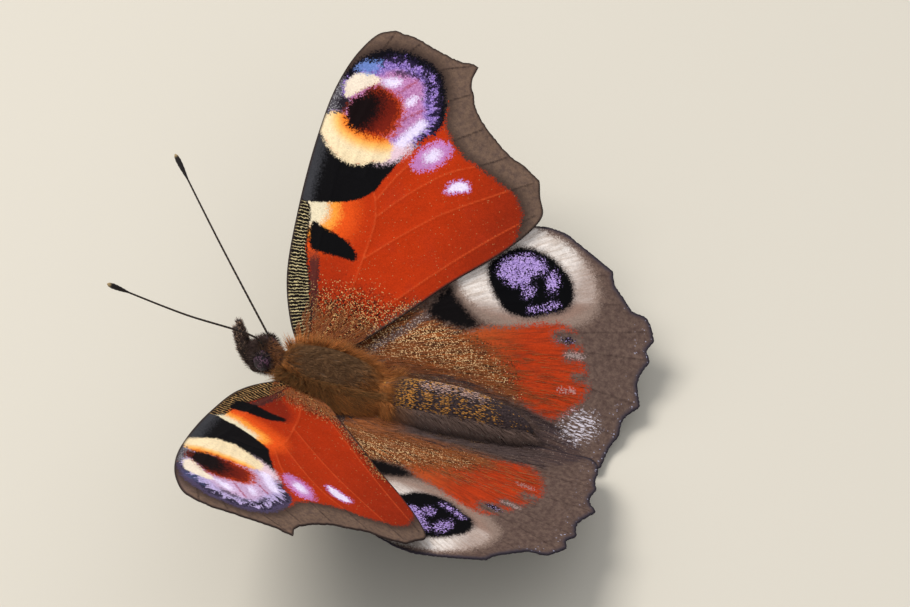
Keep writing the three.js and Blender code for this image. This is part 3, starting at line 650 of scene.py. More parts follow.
def hind_shapes(q, side):
    """The hindwing's markings, in the same way."""
    x, y = q[:, 0], q[:, 1]
    left = side == "left"
    shapes = {name: region(q, points) for name, points in HIND_REGIONS.items()}
    shapes["inner"] -= 0.55 if left else 0
    # notches in the red's rear edge
    for notch, width in (([(8.3, 15.0), (8.7, 17.5)], 0.7), ([(6.9, 16.3), (7.3, 18.5)], 0.55),
                         ([(5.1, 17.4), (5.3, 19)], 0.5)):
        shapes["red"] = np.minimum(shapes["red"], line_distance(q, notch) - width)
    shapes["violet"] = np.maximum.reduce([
        shapes["violet"], blob(q, 11.3, 11.2, 0.55, 0.4, 20), blob(q, 12.9, 12.85, 0.9, 0.5, -10),
        0.22 - line_distance(q, [(9.75, 11.9), (10.35, 12.95), (10.95, 13.8)])])
    crease = line_distance(q, spline([(0.9, 5.0), (1.1, 9.2), (0.4, 13.8), (-0.2, 17.5)]))
    streaks = np.minimum(line_distance(q, [(6.8, 16.0), (7.1, 17.3)]),
                         line_distance(q, [(3.5, 16.4), (3.7, 17.6)]))
    ring_low = np.clip((11.0 - x + 0.25 * (y - 11)) / 3, 0, 1) + 0.6 * np.clip((y - 12.3) / 3, 0, 1)
    return shapes | {
        "ash": 0.3 - line_distance(q, [(1.0, 0.2), (3.4, 1.9), (6.2, 4.0)]),
        # painted shade along the fold's crease
        "crease": 0.16 - crease,
        "fleck": blob(q, 8.1, 15.6, 0.28, 0.6, -25),
        "streaks": 0.13 - streaks,
        "worn": blob(q, 0.7, 18.9, 1.5, 1.25, 20) - (9 if left else 0),
        "low": np.clip((y - 16) / 5, 0, 1),
        "ring_low": ring_low,
        "brown": np.clip((12.5 - y) / 6, 0, 1),
    }


def fore_top():
    look = WingLook("forewing_top")
    bars = look.node("SeparateXYZ", look.vector("bars"))
    across = look.node("SeparateXYZ", look.flat).output(1)
    left_sheen_shade = look["left_sheen_shade"]
    # the red ground, darker towards the rear corner and dusted with gold near the root
    c = look.mix((180, 50, 13), (136, 38, 16), (look["tail_dark"] + look.fine * 0.3).ramp(0.3, 1.05))
    # painted shade: the left wing's red is darker
    c = look.mix(c, (140, 38, 13), left_sheen_shade * 0.35)
    c = look.mix(c, (158, 44, 20), look.broad.ramp(0.5, 0.75) * 0.5)
    # painted shade: the red is darker in the cell, most on the left wing
    c = look.mix(c, (104, 28, 18), look.edge("cell", 0.5, 0.2) * (left_sheen_shade * 0.5 + 0.2))
    c = look.lay(c, (204, 80, 38), "vein", 0.07, 0.02, 0.02, 0.75)
    # on the left wing the dark root is kept out of the cell's painted shade
    base = look["base"] + (look.fine - 0.5) * 0.4 - look.edge("cell", 0.4, 0.2) * (left_sheen_shade * 0.8)
    c = look.mix(c, (86, 44, 23), base.ramp(0.0, 0.9) * 0.88)
    c = look.mix(c, (30, 20, 15), look.pick.ramp(0.58, 0.62) * base.ramp(-0.1, 0.5))
    c = look.speckle(c, (218, 172, 112), base.ramp(-0.15, 0.7) * 0.45)
    c = look.lay(c, look.speckle((92, 62, 50), (176, 150, 136), 0.35), "ash", 0.5, 0.5)
    strip = look.speckle((52, 36, 36), (190, 156, 104), look["base"].ramp(-0.1, 0.5) * 0.4)
    c = look.lay(c, strip, "strip", 0.1, 0.15, 0.1, 0.85)
    # the pale glow between the two black patches
    glow = look["glow"] + (look.pick - 0.5) * 0.45
    c = look.mix((222, 80, 24), c, glow.ramp(3.0, 5.0))
    c = look.mix((246, 156, 60), c, glow.ramp(2.1, 3.1))
    c = look.mix((228, 214, 182), c, glow.ramp(1.3, 2.1))
    # the finely barred front edge
    wave = look.noise(look.flat, 1.6, 3.0) * 6.5 + look.pick * 1.5
    stripes = look.math("SINE", bars * 21.0 + wave) + (look.fine - 0.65)
    pale = look.mix((208, 190, 142), (186, 146, 92), left_sheen_shade)
    c = look.lay(c, look.mix((19, 15, 14), pale, stripes.ramp(0.35, 0.9)), "costa", 0.05, 0.1, 0.1)
    band_edge = 0.08 - look.math("ABSOLUTE", look["costa"])
    c = look.lay(c, (26, 20, 20), band_edge, 0.06, 0.06, 0.08, 0.85)
    c = look.lay(c, (12, 11, 13), "patch1", 0.12, 0.08)
    depth = bars.output(1) + look.pick * 0.5
    c = look.lay(c, look.mix((58, 58, 62), (13, 12, 14), depth.ramp(0.7, 1.7)), "patch2", 0.08, 0.06, 0.12)
    # the eyespot: its border, the violet rim with fine dark streaks, the cream, and the red disc
    # painted sheen lightens the left wing's black border
    c = look.lay(c, look.mix((14, 13, 20), (92, 80, 112), left_sheen_shade * 0.6), "ring", 0.05, 0.12)
    eye = look["eye"]
    violet = look.mix((112, 88, 160), (164, 136, 206), look.pick2.ramp(0.25, 0.85))
    pink = look.mix((168, 104, 158), (196, 140, 186), look.pick2)
    violet = look.mix(pink, violet, (eye + look.fine * 0.8).ramp(2.2, 1.4))
    # painted sheen: the left wing's violet is whiter
    violet = look.mix(violet, (206, 194, 220), left_sheen_shade * 0.5)
    streak = look.noise(look.vector("ray", (2.0, 1.1, 1)), 1.0, 3.0, 0.6) + look.pick * 0.1
    violet = look.mix(violet, (20, 16, 32), (streak - eye * 0.17).ramp(0.44, 0.5) * 0.95)
    c = look.lay(c, violet, "eye", 0.04, 0.3, 0.8)
    c = look.lay(c, (20, 16, 30), "dark_flecks", 0.1, 0.3, 0.7, 0.75)
    c = look.lay(c, (226, 196, 208), "pearl", 0.35, 0.2)
    disc = look["disc"]
    warm = look.mix((247, 184, 98), (240, 218, 178), disc.ramp(-0.6, -1.7))
    warm = look.mix((236, 130, 44), warm, disc.ramp(-0.1, -0.85))
    c = look.lay(c, warm, "cream_left", 0.2, 0.15)
    c = look.lay(c, look.speckle((78, 74, 80), (160, 156, 160), 0.55), "shoulder", 0.15, 0.3)
    c = look.lay(c, (36, 30, 38), "shoulder_dark", 0.2, 0.25)
    c = look.lay(c, (232, 216, 196), "cream_right", 0.12, 0.12)
    # the blue is fainter on the left wing, under its painted sheen
    c = look.mix(c, (108, 134, 200), look.edge("blue", 0.2, 0.3, 0.4) * (0.85 - left_sheen_shade * 0.7))
    c = look.lay(c, (186, 62, 18), disc, 0.3, 0.3, 0.4)
    c = look.lay(c, (112, 30, 18), disc - 0.4, 0.35, 0.3, 0.4)
    c = look.mix(c, (20, 11, 12), look.edge("disc_dark", 0.75, 0.25, 0.6) * look.edge(disc, 0.2, 0.25, 0.3))
    c = look.lay(c, (160, 70, 90), "rays", 0.1, 0.1, 0.1, 0.8)
    c = look.lay(c, (232, 220, 248), "white", 0.25, 0.15)
    # the two spots behind it, and the outer band
    c = look.lay(c, (188, 122, 182), "spot2", 0.12, 0.3)
    c = look.lay(c, (230, 216, 244), "spot2_white", 0.25, 0.15)
    c = look.lay(c, (188, 138, 198), "spot1", 0.1, 0.22)
    c = look.lay(c, (234, 222, 246), look["spot1"] - 0.2, 0.12, 0.12)
    grey = look.mix((112, 90, 76), (92, 74, 66), look.fine.ramp(0.35, 0.7))
    grey = look.mix(grey, (122, 100, 92), across.ramp(-4.0, -6.5))
    grey = look.mix((66, 52, 46), grey, look["margin"].ramp(-0.1, 1.3))
    grey = look.lay(grey, (48, 37, 34), "vein", 0.09, 0.02, 0.05, 0.9)
    c = look.lay(c, grey, "margin", 0.2, 0.2)
    c = look.mix((50, 40, 38), c, look["rim"].ramp(0.0, 0.28))
    return look.finish(c)


def hind_top():
    look = WingLook("hindwing_top")
    streak = look.noise(look.vector("ray", (14.0, 0.45, 1)), 1.0, 4.0, 0.65)
    # the grey ground, darker along the rim, with single glinting scales at the rear
    grey = look.mix((104, 85, 76), (80, 63, 58), look.fine.ramp(0.3, 0.7))
    edge = look["rim"] + look.fine * 0.6
    grey = look.mix((62, 55, 62), grey, edge.ramp(0.35, 0.85))
    glint = look.pick2.ramp(0.978, 0.99) * edge.ramp(2.1, 0.7)
    grey = look.mix(grey, (150, 148, 168), glint * look["low"].ramp(0.4, 1.0))
    c = look.lay(grey, (56, 43, 40), "vein", 0.1, 0.02, 0.05, 0.65)
    # the pale border of the eyespot, the red and the gold dusting
    c = look.lay(c, look.mix((150, 130, 118), (124, 104, 95), streak), "pale", 0.5, 0.25)
    pale = look.mix((226, 217, 211), (192, 178, 168), streak.ramp(0.36, 0.68))
    pale = look.mix(pale, (142, 116, 104), look["ring_low"].ramp(0.1, 0.9))
    c = look.lay(c, pale, "ring", 0.35, 0.2)
    red = look.mix((172, 54, 20), (124, 45, 23), streak.ramp(0.4, 0.7))
    red = look.mix(red, (160, 86, 42), look["brown"] * 0.8)
    c = look.lay(c, red, "red", 0.35, 0.3, 0.5)
    gold = look.mix((50, 31, 21), (142, 78, 38), streak.ramp(0.38, 0.64))
    gold = look.speckle(gold, (224, 184, 134), look["gold"].ramp(-0.8, 2.4) * 0.55)
    c = look.lay(c, gold, "gold", 0.9, 0.9, 0.6)
    c = look.lay(c, look.speckle((88, 68, 62), (176, 158, 154), 0.4), "ash", 0.25, 0.3, 0.3)
    # the inner edge beside the abdomen, with painted shade along its crease
    inner = look.mix((84, 66, 60), (60, 49, 52), streak.ramp(0.36, 0.62))
    c = look.lay(c, look.speckle(inner, (142, 124, 116), 0.1), "inner", 0.5, 0.3, 0.3)
    c = look.lay(c, look.speckle((70, 50, 38), (168, 128, 82), 0.28), "inner_gold", 0.6, 0.5, 0.6)
    # painted shade along the crease
    c = look.lay(c, (40, 31, 34), "crease", 0.15, 0.05, 0.1, 0.85)
    # the eyespot, and what is around it
    c = look.lay(c, (13, 10, 11), "wedge", 0.4, 0.2, 0.4)
    c = look.lay(c, (70, 58, 56), look["black"] + 0.22, 0.3, 0.15, 0.1, 0.85)
    c = look.lay(c, (6, 6, 8), "black", 0.12, 0.12, 0.1)
    shown = 1.0 - look.pick.ramp(0.78, 0.82) * 0.9
    violet = look.mix((138, 114, 178), (182, 156, 216), look.pick2)
    c = look.mix(c, violet, shown * look.edge("violet", 0.05, 0.45, 0.35))
    c = look.lay(c, look.speckle((30, 24, 36), (170, 150, 200), 0.35), "fleck", 0.08, 0.15)
    c = look.lay(c, (190, 168, 166), "streaks", 0.12, 0.3, 0.3, 0.45)
    worn = look.noise(look.vector("flat", (6.0, 1.6, 1)), 1.0, 3.0, 0.6).ramp(0.48, 0.56)
    c = look.mix(c, (204, 196, 206), worn * look.edge("worn", 0.4, 0.5, 0.5))
    c = look.mix((46, 41, 48), c, look["rim"].ramp(0.0, 0.25))
    return look.finish(c)


def wing_under():
    look = WingLook("wing_underside")
    wave = look.noise(look.vector("flat", (0.9, 3.0, 1)), 0.9, 5.0, 0.7)
    c = look.mix((26, 21, 21), (58, 46, 42), wave.ramp(0.42, 0.62))
    c = look.mix(c, (84, 70, 62), look.pick.ramp(0.8, 0.95) * 0.5)
    c = look.lay(c, (20, 16, 16), "vein", 0.06, 0.02, 0.03, 0.7)
    return look.finish(c)


# ---- coat of hair

ROOT_DEPTH = 0.03
# side of each tuft's own square of the UV map
PATCH = 0.003
# a tuft's seven points: two triangles along it and the tip
TUFT_FACES = np.array([
    (0, 1, 2), (1, 0, 3), (1, 3, 4), (2, 1, 4), (2, 4, 5), (0, 2, 5), (0, 5, 3), (4, 3, 6), (5, 4, 6),
    (3, 5, 6)])
TUFT_UV = np.array([(0, 0), (1, 0), (0.5, 0.3), (0.2, 0.5), (0.8, 0.5), (0.5, 0.7), (0.5, 1.0)])
TUFT_TIP = [0, 0, 0, 0.5, 0.5, 0.5, 1.0]
TUFT_SLOTS = {"abdomen": "abdomen_scales", "forewing": "forewing_scales", "hindwing": "hindwing_scales"}


def tufts(name, roots, normals, lies, lengths, widths, uv, marks, material, rise, droop=0.5):
    """Closed tapering hairs. Each starts just under its skin, rises a little and bends over along its lie."""
    n = len(roots)
    lengths = lengths[:, None]
    side = unit(np.cross(lies, normals))
    ring = []
    for t, share in ((0.0, 1.0), (0.5, 0.75)):
        height = lengths * rise * t * (1 - droop * t) - ROOT_DEPTH * (1 - t)
        centre = roots + lies * lengths * t + normals * height
        w = (widths * share)[:, None]
        corners = [centre - side * w / 2, centre + side * w / 2, centre + normals * w * 0.6]
        ring.append(np.stack(corners, axis=1))
    ring.append((roots + lies * lengths + normals * lengths * rise * (1 - droop))[:, None])
    verts = np.concatenate(ring, axis=1)
    across = np.cross(verts[:, 1] - verts[:, 0], verts[:, 2] - verts[:, 0])
    flip = np.einsum("ij,ij->i", across, lies) > 0
    both = np.where(flip[:, None, None], TUFT_FACES[:, ::-1][None], TUFT_FACES[None])
    faces = (both + (np.arange(n) * 7)[:, None, None]).reshape(-1, 3).tolist()
    patch = (uv[:, None] + (TUFT_UV * PATCH - PATCH / 2)[None]).reshape(-1, 2)
    marks = {key: np.repeat(v, 7) for key, v in ({"shade": rand(n)} | marks).items()}
    marks["tip"] = np.tile(TUFT_TIP, n)
    piece = make(name, verts.reshape(-1, 3), faces, [material], marks, uv=patch)
    TUFT_SLOTS.get(name.split("_")[0], "body_hair")


def hair_look(name, cool, warm, tip_light=0.35):
    """Hair between two colours, by the share of warm colour held by each tuft."""
    look = Look(name, roughness=0.8, specular=0.1)
    c = look.mix(cool, warm, look["warm"])
    amount = look["shade"] * 0.6 + 0.65 + look["tip"] * tip_light
    return look.colour(look.brighten(c, amount))


# ---- body

BODY_FRONT = -6.85
BODY_LENGTH = 24.05
RINGS_START = 4.8
RING_LENGTH = 1.45


def ring_phase(y):
    """Share of the way along the abdomen's ring at y."""
    return (y - RINGS_START) / RING_LENGTH % 1.0


def body_points(y, a):
    """Points, outward normals, and directions back and around on the body's skin.

    The angle a is 0 at the top and grows to the left.
    """
    def at(yy):
        zc, rx, rz = body_at(yy)
        return np.c_[rx * np.sin(a), yy, zc + rz * np.cos(a)]
    p = at(y)
    back = unit(at(y + 0.05) - at(y - 0.05))
    zc, rx, rz = body_at(y)
    zero = np.zeros(len(y))
    around = unit(np.c_[rx * np.cos(a), zero, -rz * np.sin(a)])
    normal = np.cross(around, back)
    normal *= np.sign(np.einsum("ij,ij->i", normal, p - np.c_[zero, y, zc]))[:, None]
    return p, normal, back, around


def warmth(y, a):
    """Share of foxy brown in the thorax's hair: its back is dull, its front, sides and rear are warm."""
    dull = smooth(-np.hypot((y + 0.1) / 3.7, a / 1.3), -1.2, -0.78)
    below = smooth(np.abs(a), 1.2, 2.0)
    return (1 - dull) * (1 - 0.45 * below) * (y > -4.6)


def body_skin():
    y = np.r_[np.linspace(BODY_FRONT, -4.3, 22), np.linspace(-4.2, 4.2, 50), np.linspace(4.3, 17.2, 110)]
    sides = 48
    a = 2 * np.pi * np.arange(sides) / sides
    zc, rx, rz = body_at(y)
    ringed = np.where(y > RINGS_START, ring_phase(y), 1.0)
    squeeze = 1 - 0.05 * np.exp(-((1 - ringed) / 0.12) ** 2) * (y > RINGS_START)
    verts = np.stack([np.outer(rx * squeeze, np.sin(a)), np.repeat(y[:, None], sides, 1),
                      zc[:, None] + np.outer(rz * squeeze, np.cos(a))], axis=2).reshape(-1, 3)
    turn = np.tile(np.where(a > np.pi, a - 2 * np.pi, a), len(y))
    along = np.repeat(y, sides)
    look = Look("body_skin", roughness=0.8, specular=0.2)
    where = look.vector("where")
    fine = look.noise(where, 1.2, 4.0)
    c = look.mix((84, 62, 44), (112, 70, 38), look["warm"] * fine.ramp(0.2, 0.8))
    tail = look.mix((48, 39, 40), (34, 28, 30), look["ringed"].ramp(0.55, 0.95))
    c = look.mix(c, tail, look["along"].ramp(4.6, 6.5))
    look.bump(look.cells(where, 7.0)[2], 0.00003, 0.6)
    marks = {"warm": warmth(along, turn), "along": along, "ringed": np.repeat(ringed, sides), "where": verts}
    skin = make("body_skin", verts, ring_faces(len(y), sides), [look.colour(c)], marks)
    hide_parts("head", "thorax", "abdomen")


def uv_map(u, v):
    """UV places from shares of the map, kept off its edges."""
    return np.c_[u, v] * 0.98 + 0.01


def body_uv(y, a):
    return uv_map(a / (2 * np.pi) + 0.5, (y - BODY_FRONT) / BODY_LENGTH)


def all_round(n, start, length):
    """Random places along the body and all round it."""
    return start + length * rand(n), (rand(n) * 2 - 1) * np.pi


def both_flanks(n, start, length, low, width):
    """Random places along the body on both flanks, and which flank each is on, 1 for the left."""
    y = start + length * rand(n)
    s = np.where(rand(n) < 0.5, 1, -1)
    return y, s * (low + width * rand(n)), s[:, None]


def thorax_coat():
    # short and dull on the back, long and foxy at the sides, front and rear
    n = 17000
    y, a = all_round(n, -4.3, 9.2)
    p, normal, back, around = body_points(y, a)
    warm = warmth(y + 0.45 * RNG.normal(size=n), a + 0.14 * RNG.normal(size=n))
    clump = np.sin(4.1 * y + 3 * np.sin(5 * a)) * np.sin(6.3 * a + 1.7 * y)
    aside = (0.15 + 0.2 * warm) * np.sign(a) + 0.3 * clump + 0.22 * RNG.normal(size=n)
    lie = unit(back + around * aside[:, None])
    length = 0.4 + 0.3 * rand(n) + (0.3 + 0.5 * rand(n)) * warm
    fur = hair_look("fur", (108, 79, 54), (148, 92, 46))
    warm = np.clip(warm * (0.75 + 0.4 * rand(n)), 0, 1)
    # the tufts' tone is random and swings with the clumps, darker in their recesses as painted shade
    tufts("thorax_fur", p, normal, lie, length, 0.04 + 0.025 * rand(n), body_uv(y, a),
          {"warm": warm, "shade": 0.1 + 0.8 * rand(n) + 0.4 * clump}, fur, 0.35)
    # fringe over the wing roots
    n = 9000
    y, a, s = both_flanks(n, -3.7, 8.2, 0.85, 0.6)
    p, normal, back, around = body_points(y, a)
    clump = np.sin(5.3 * y + 3 * np.sin(4 * a)) * np.sin(7.1 * a + 2.3 * y)
    backward = 0.4 + 0.12 * y + 0.3 * rand(n) + 0.35 * clump
    lie = unit(back * backward[:, None] + around * (0.15 * s) + 0.9 * normal + 0.26 * RNG.normal(size=(n, 3)))
    foxy = hair_look("fringe", (98, 76, 48), (192, 120, 64), 0.5)
    # painted shade: the near (left) fringe is less foxy, and so darker
    warm = rand(n) * np.where(a > 0, 0.5, 1.0) + 0.25 * (a < 0)
    # painted shade: tone darker in the clumps' recesses, and dimmed on the near side's first rows to damp the
    # light on their tips
    shade = 0.1 + 0.8 * rand(n) + 0.4 * clump - 0.55 * (a > 0) * (1 - smooth(a, 0.85, 1.2))
    tufts("fringe_fur", p, normal, lie, 0.7 + 1.1 * rand(n), 0.03 + 0.02 * rand(n), body_uv(y, a),
          {"warm": warm, "shade": shade}, foxy, 0.1, 0.9)
    # longer hair from the thorax's sides and waist, back over the wings' roots
    n = 6500
    y, a, s = both_flanks(n, 0.2, 5.2, 1.05, 0.85)
    p, normal, back, around = body_points(y, a)
    waist = smooth(y, 2.6, 4.2)[:, None]
    lie = unit(back * (1.1 - 0.5 * waist) + around * (0.25 * s) + normal * (0.45 + 0.35 * waist)
               + 0.2 * RNG.normal(size=(n, 3)))
    tufts("root_fur", p, normal, lie, 1.0 + 1.3 * rand(n), 0.03 + 0.02 * rand(n), body_uv(y, a),
          {"warm": 0.3 + 0.7 * rand(n)}, foxy, 0.1, 0.7)


def abdomen_coat():
    # small flat scales, gold in clusters on every ring but the last ones, and pale along the back
    n = 15000
    y, a = all_round(n, 4.6, 12.3)
    p, normal, back, around = body_points(y, a)
    lie = unit(back + around * (0.25 * RNG.normal(size=n))[:, None])
    phase = ring_phase(y)
    flank = smooth(np.abs(a), 1.0, 1.5)
    side = smooth(np.abs(a), 0.1, 0.5) * (1 - flank)
    clusters = side * np.where((phase > 0.35) & (phase < 0.85), 0.4, 0.07)
    golden = rand(n) < 0.1 * (1 - flank) + clusters
    golden |= rand(n) < 0.3 * smooth(-y, -9, -6.5) * (1 - 0.7 * flank)
    golden &= rand(n) < 1.0 - 0.9 * smooth(y, 13.6, 14.6)
    pale = rand(n) < 0.5 * smooth(-np.abs(a + 0.3), -0.75, -0.2) * smooth(y, 6.5, 8.5) * smooth(-y, -14, -12)
    kind = np.where(golden, 1.0, np.where(pale, 0.5, 0.0))
    look = Look("abdomen_scales", roughness=0.7, specular=0.08)
    c = look.mix((72, 59, 60), (106, 88, 83), look["flank"])
    c = look.mix(c, (196, 162, 152), look["kind"].ramp(0.2, 0.4))
    c = look.mix(c, (196, 138, 66), look["kind"].ramp(0.6, 0.8))
    c = look.brighten(c, look["shade"] * 0.6 + 0.65)
    tufts("abdomen_scales", p, normal, lie, 0.2 + 0.12 * rand(n), 0.075 + 0.04 * rand(n), body_uv(y, a),
          {"kind": kind, "flank": flank}, look.colour(c), 0.25)
    # soft hair at the root, and longer grey hair that hangs from the flanks over the wings' inner edges
    n = 12000
    y = 4.4 + 12.4 * rand(n) ** 1.3
    a = (rand(n) * 2 - 1) * np.pi
    keep = (y < 5.1 + 0.8 * rand(n)) | (np.abs(np.abs(a) - 1.75) < 0.5)
    y, a = y[keep], a[keep]
    n = len(y)
    p, normal, back, around = body_points(y, a)
    hang = smooth(y, 4.3, 5.3) * smooth(np.abs(a), 1.1, 1.5)
    aside = 0.25 * RNG.normal(size=n) + 0.5 * hang * np.sign(a)
    lie = unit(back + around * aside[:, None] + normal * (0.55 * hang)[:, None])
    warm = np.clip(1.2 - (y - 4.4) / 2.6, 0, 1) * (0.6 + 0.4 * rand(n))
    soft = hair_look("abdomen_hair", (112, 92, 84), (140, 90, 50))
    tufts("abdomen_fur", p, normal, lie, 0.5 + 0.6 * rand(n) + 0.7 * hang, 0.03 + 0.02 * rand(n),
          body_uv(y, a), {"warm": warm}, soft, 0.25)


def head_coat():
    # a ruff of dark bristles, browner behind the feelers and left out over the eyes
    n = 5200
    y, a = all_round(n, -6.75, 2.6)
    p, normal, back, _ = body_points(y, a)
    ahead = smooth(-y, 5.0, 6.2)
    lie = unit(normal * 0.8 - back * (1.0 * ahead - 0.45)[:, None] + 0.28 * RNG.normal(size=(n, 3)))
    off_eye = (np.abs(np.abs(a) - 1.35) > 0.42) | (np.abs(y + 5.4) > 0.5)
    p, normal, lie, y, a = (v[off_eye] for v in (p, normal, lie, y, a))
    n = len(y)
    warm = smooth(y, -5.5, -4.8) * (rand(n) < 0.7) * (0.4 + 0.6 * rand(n))
    bristle = hair_look("head_hair", (66, 52, 48), (168, 110, 66), 0.8)
    tufts("head_fur", p, normal, lie, 0.22 + 0.42 * rand(n), 0.03 + 0.02 * rand(n), body_uv(y, a),
          {"warm": warm}, bristle, 0.1)


def wing_coat(kind, side):
    """Fine hair over the wing's root and inner part, lying along the wing."""
    loop = wing_loop(kind, side)
    if kind == "hind":
        n = 9000
        q = np.c_[RNG.uniform(-3.4, 6.0, n), RNG.uniform(0.2, 17.5, n)]
        keep = (q[:, 0] < 1.8 + 0.42 * q[:, 1]) & (rand(n) < 1.05 - q[:, 1] / 19)
        keep &= (q[:, 0] < 1.0 + 0.12 * q[:, 1]) | (rand(n) < 0.35)
        aim = q - FAN_HUB["hind"]
    else:
        n = 2600
        q = np.c_[RNG.uniform(-1.0, 3.2, n), RNG.uniform(-2.0, 3.4, n)]
        keep = rand(n) < 1.05 - (q[:, 0] + 1) / 4.0
        aim = q - (-5.0, -1.5)
    keep &= inside(q, loop)
    keep &= rim_distance(q, loop) > 0.08
    q, aim = q[keep], unit(aim[keep])
    n = len(q)
    aim = unit(aim + 0.1 * RNG.normal(size=(n, 2)))
    p = wing_place(kind, side, q, 0.06)
    lie = unit(wing_place(kind, side, q + aim * 0.3, 0.06) - p)
    normal = np.tile(wing_basis(*POSE[kind, side])[2] * SIGN[side], (n, 1))
    warm = 0.45 + 0.55 * rand(n)
    if kind == "hind":
        near = smooth(-np.hypot(q[:, 0], q[:, 1] / 1.6), -3.8, -1.6)
        length = 0.7 + 0.8 * rand(n) + 0.6 * near
        warm *= np.maximum(smooth(q[:, 0] - 0.05 * q[:, 1], -0.6, 1.0), near)
    else:
        length = 0.45 + 0.6 * rand(n)
    uv = uv_map(*((q + (4.5, 4.0)) / 40).T)
    name = f"{kind}wing_hair_{side}"
    look = hair_look(name, (96, 80, 77), (176, 102, 50))
    tufts(name, p, normal, lie, length, 0.022 + 0.016 * rand(n), uv, {"warm": warm}, look, 0.14, 0.7)


# ---- head and limbs


def eyes():
    look = Look("eye", roughness=0.5, specular=0.25)
    where = look.vector("where")
    distance = look.cells(where, 9.0)[2]
    c = look.mix((44, 30, 38), (104, 72, 92), look.noise(where, 1.8, 2.0).ramp(0.42, 0.6))
    c = look.mix(c, (16, 11, 16), distance.ramp(0.35, 0.65))
    look.bump(distance, 0.00003, 0.5)
    material = look.colour(c)
    hair = hair_look("eye_hair", (42, 34, 34), (110, 92, 84), 0.6)
    rows, columns = 24, 32
    v = np.pi * (np.arange(1, rows)) / rows
    b = 2 * np.pi * np.arange(columns) / columns
    centre, radius = np.array([0.95, -5.4, 0.72]), np.array([0.7, 0.78, 0.95])
    grid = np.stack([np.outer(np.cos(v), np.ones(columns)), np.outer(np.sin(v), np.sin(b)),
                     np.outer(np.sin(v), np.cos(b))], axis=2).reshape(-1, 3)
    ball = centre + grid * radius
    # bristles around the eye
    n = 420
    a = 2 * np.pi * rand(n)
    out = np.sqrt(1 - (0.86 + 0.14 * rand(n)) ** 2)
    rim = unit(np.c_[out, np.sqrt(1 - out**2) * np.sin(a), np.sqrt(1 - out**2) * np.cos(a)])
    uv = uv_map(a / (2 * np.pi), out)
    for side, s in SIGN.items():
        limb("eye", side, ball, ring_faces(rows - 1, columns), material, {"where": ball * s})
        normal = unit(rim / radius) * s
        lie = unit(normal + 0.5 * rim * np.array([-0.6, 1, 1]) * s + 0.2 * RNG.normal(size=(n, 3)))
        tufts(f"eye_hair_{side}", (centre + rim * radius) * s, normal, lie, 0.22 + 0.26 * rand(n),
              0.03 + 0.015 * rand(n), uv, {"warm": (rand(n) < 0.25) * 0.8}, hair, 0.1)


def antennae():
    look = Look("feeler", roughness=0.6, specular=0.25)
    t = look["share"]
    c = look.mix((30, 24, 21), (84, 64, 48), look.math("FRACT", t * 46.0).ramp(0.75, 0.95))
    c = look.mix(c, (24, 19, 19), t.ramp(0.84, 0.88))
    material = look.colour(look.mix(c, (150, 128, 90), t.ramp(0.98, 0.995)))
    steps = 90
    t = np.linspace(0, 1, steps)
    club = np.clip((t - 0.87) / 0.13, 0, 1)
    radii = 0.075 + 0.02 * (1 - t) + 0.16 * np.sin(np.clip(club * 1.3, 0, 1) * np.pi / 2)
    radii = radii * np.sqrt(np.clip(1 - np.clip((club - 0.72) / 0.29, 0, 1) ** 2, 0.02, 1))
    radii = radii * (1 - 0.1 * (np.arange(steps) % 2))
    for side, start, tip in (("left", -5.4, (8.5, -15.65, 13.1)), ("right", -5.0, (8.5, -15.2, 13.1))):
        knee = np.array([0.62, start - 0.55, 2.75])
        middle = (knee + tip) / 2 - (0, 0, 0.25)
        points = spline([(0.42, start, 1.8), knee, middle, tip], 0.02)
        points = points[np.linspace(0, len(points) - 1, steps).astype(int)]
        p, faces, share = tube(points, radii, 12, LEFTWARD)
        limb("antenna", side, p, faces, material, {"share": share})


def palps():
    look = Look("palp", roughness=0.8)
    grain = look.noise(look.vector("where"), 4.0)
    material = look.colour(look.mix((44, 36, 33), (66, 53, 47), grain.ramp(0.4, 0.7)))
    bristle = hair_look("palp_hair", (78, 65, 60), (170, 140, 116), 0.6)
    path = spline([(0.48, -6.3, -0.35), (0.56, -6.95, 0.6), (0.54, -7.4, 1.9), (0.46, -7.72, 3.35)], 0.12)
    t = np.linspace(0, 1, len(path))
    n = 1700
    k = RNG.integers(0, len(path) - 2, n)
    a = rand(n) * 2 * np.pi
    out = unit(np.c_[np.cos(a), np.sin(a), -0.2 * np.sin(a)])
    radius = 0.27 - 0.11 * t**2
    roots = path[k] + out * (radius[k] * 0.9)[:, None]
    shaggy = (0.35 + 0.5 * (out[:, 1] < -0.2) * (1 - t[k]))[:, None]
    upward = np.array([0, -0.3, 1.0]) * (0.35 + 0.75 * t[k])[:, None]
    lie = unit(out * shaggy + upward + 0.18 * RNG.normal(size=(n, 3)))
    length = 0.25 + 0.3 * rand(n) + 0.3 * (out[:, 1] < -0.3) * (1 - t[k]) * rand(n)
    uv = uv_map(a / (2 * np.pi), t[k])
    p, faces, _ = tube(path, radius, 12, LEFTWARD)
    for side, s in SIGN.items():
        limb("palp", side, p, faces, material, {"where": p})
        tufts(f"palp_hair_{side}", roots * s, out * s, lie * s, length, 0.04 + 0.02 * rand(n), uv,
              {"warm": (rand(n) < 0.16) * 0.9}, bristle, 0.1)


def tongue():
    look = Look("tongue", roughness=0.4)
    material = look.colour(look.mix((58, 36, 20), (30, 20, 14), look["share"].ramp(0.0, 1.0)))
    t = np.linspace(0, 1, 90)
    a = math.pi * 0.35 - 2 * math.pi * 1.5 * t
    r = 0.5 - 0.3 * t
    path = np.c_[np.zeros(len(t)), -6.35 + r * np.cos(a), -1.05 + r * np.sin(a)]
    p, faces, share = tube(path, np.full(len(t), 0.1), 10, LEFTWARD)
    piece = make("tongue_look", p, faces, [material], {"share": share})
    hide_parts("proboscis")


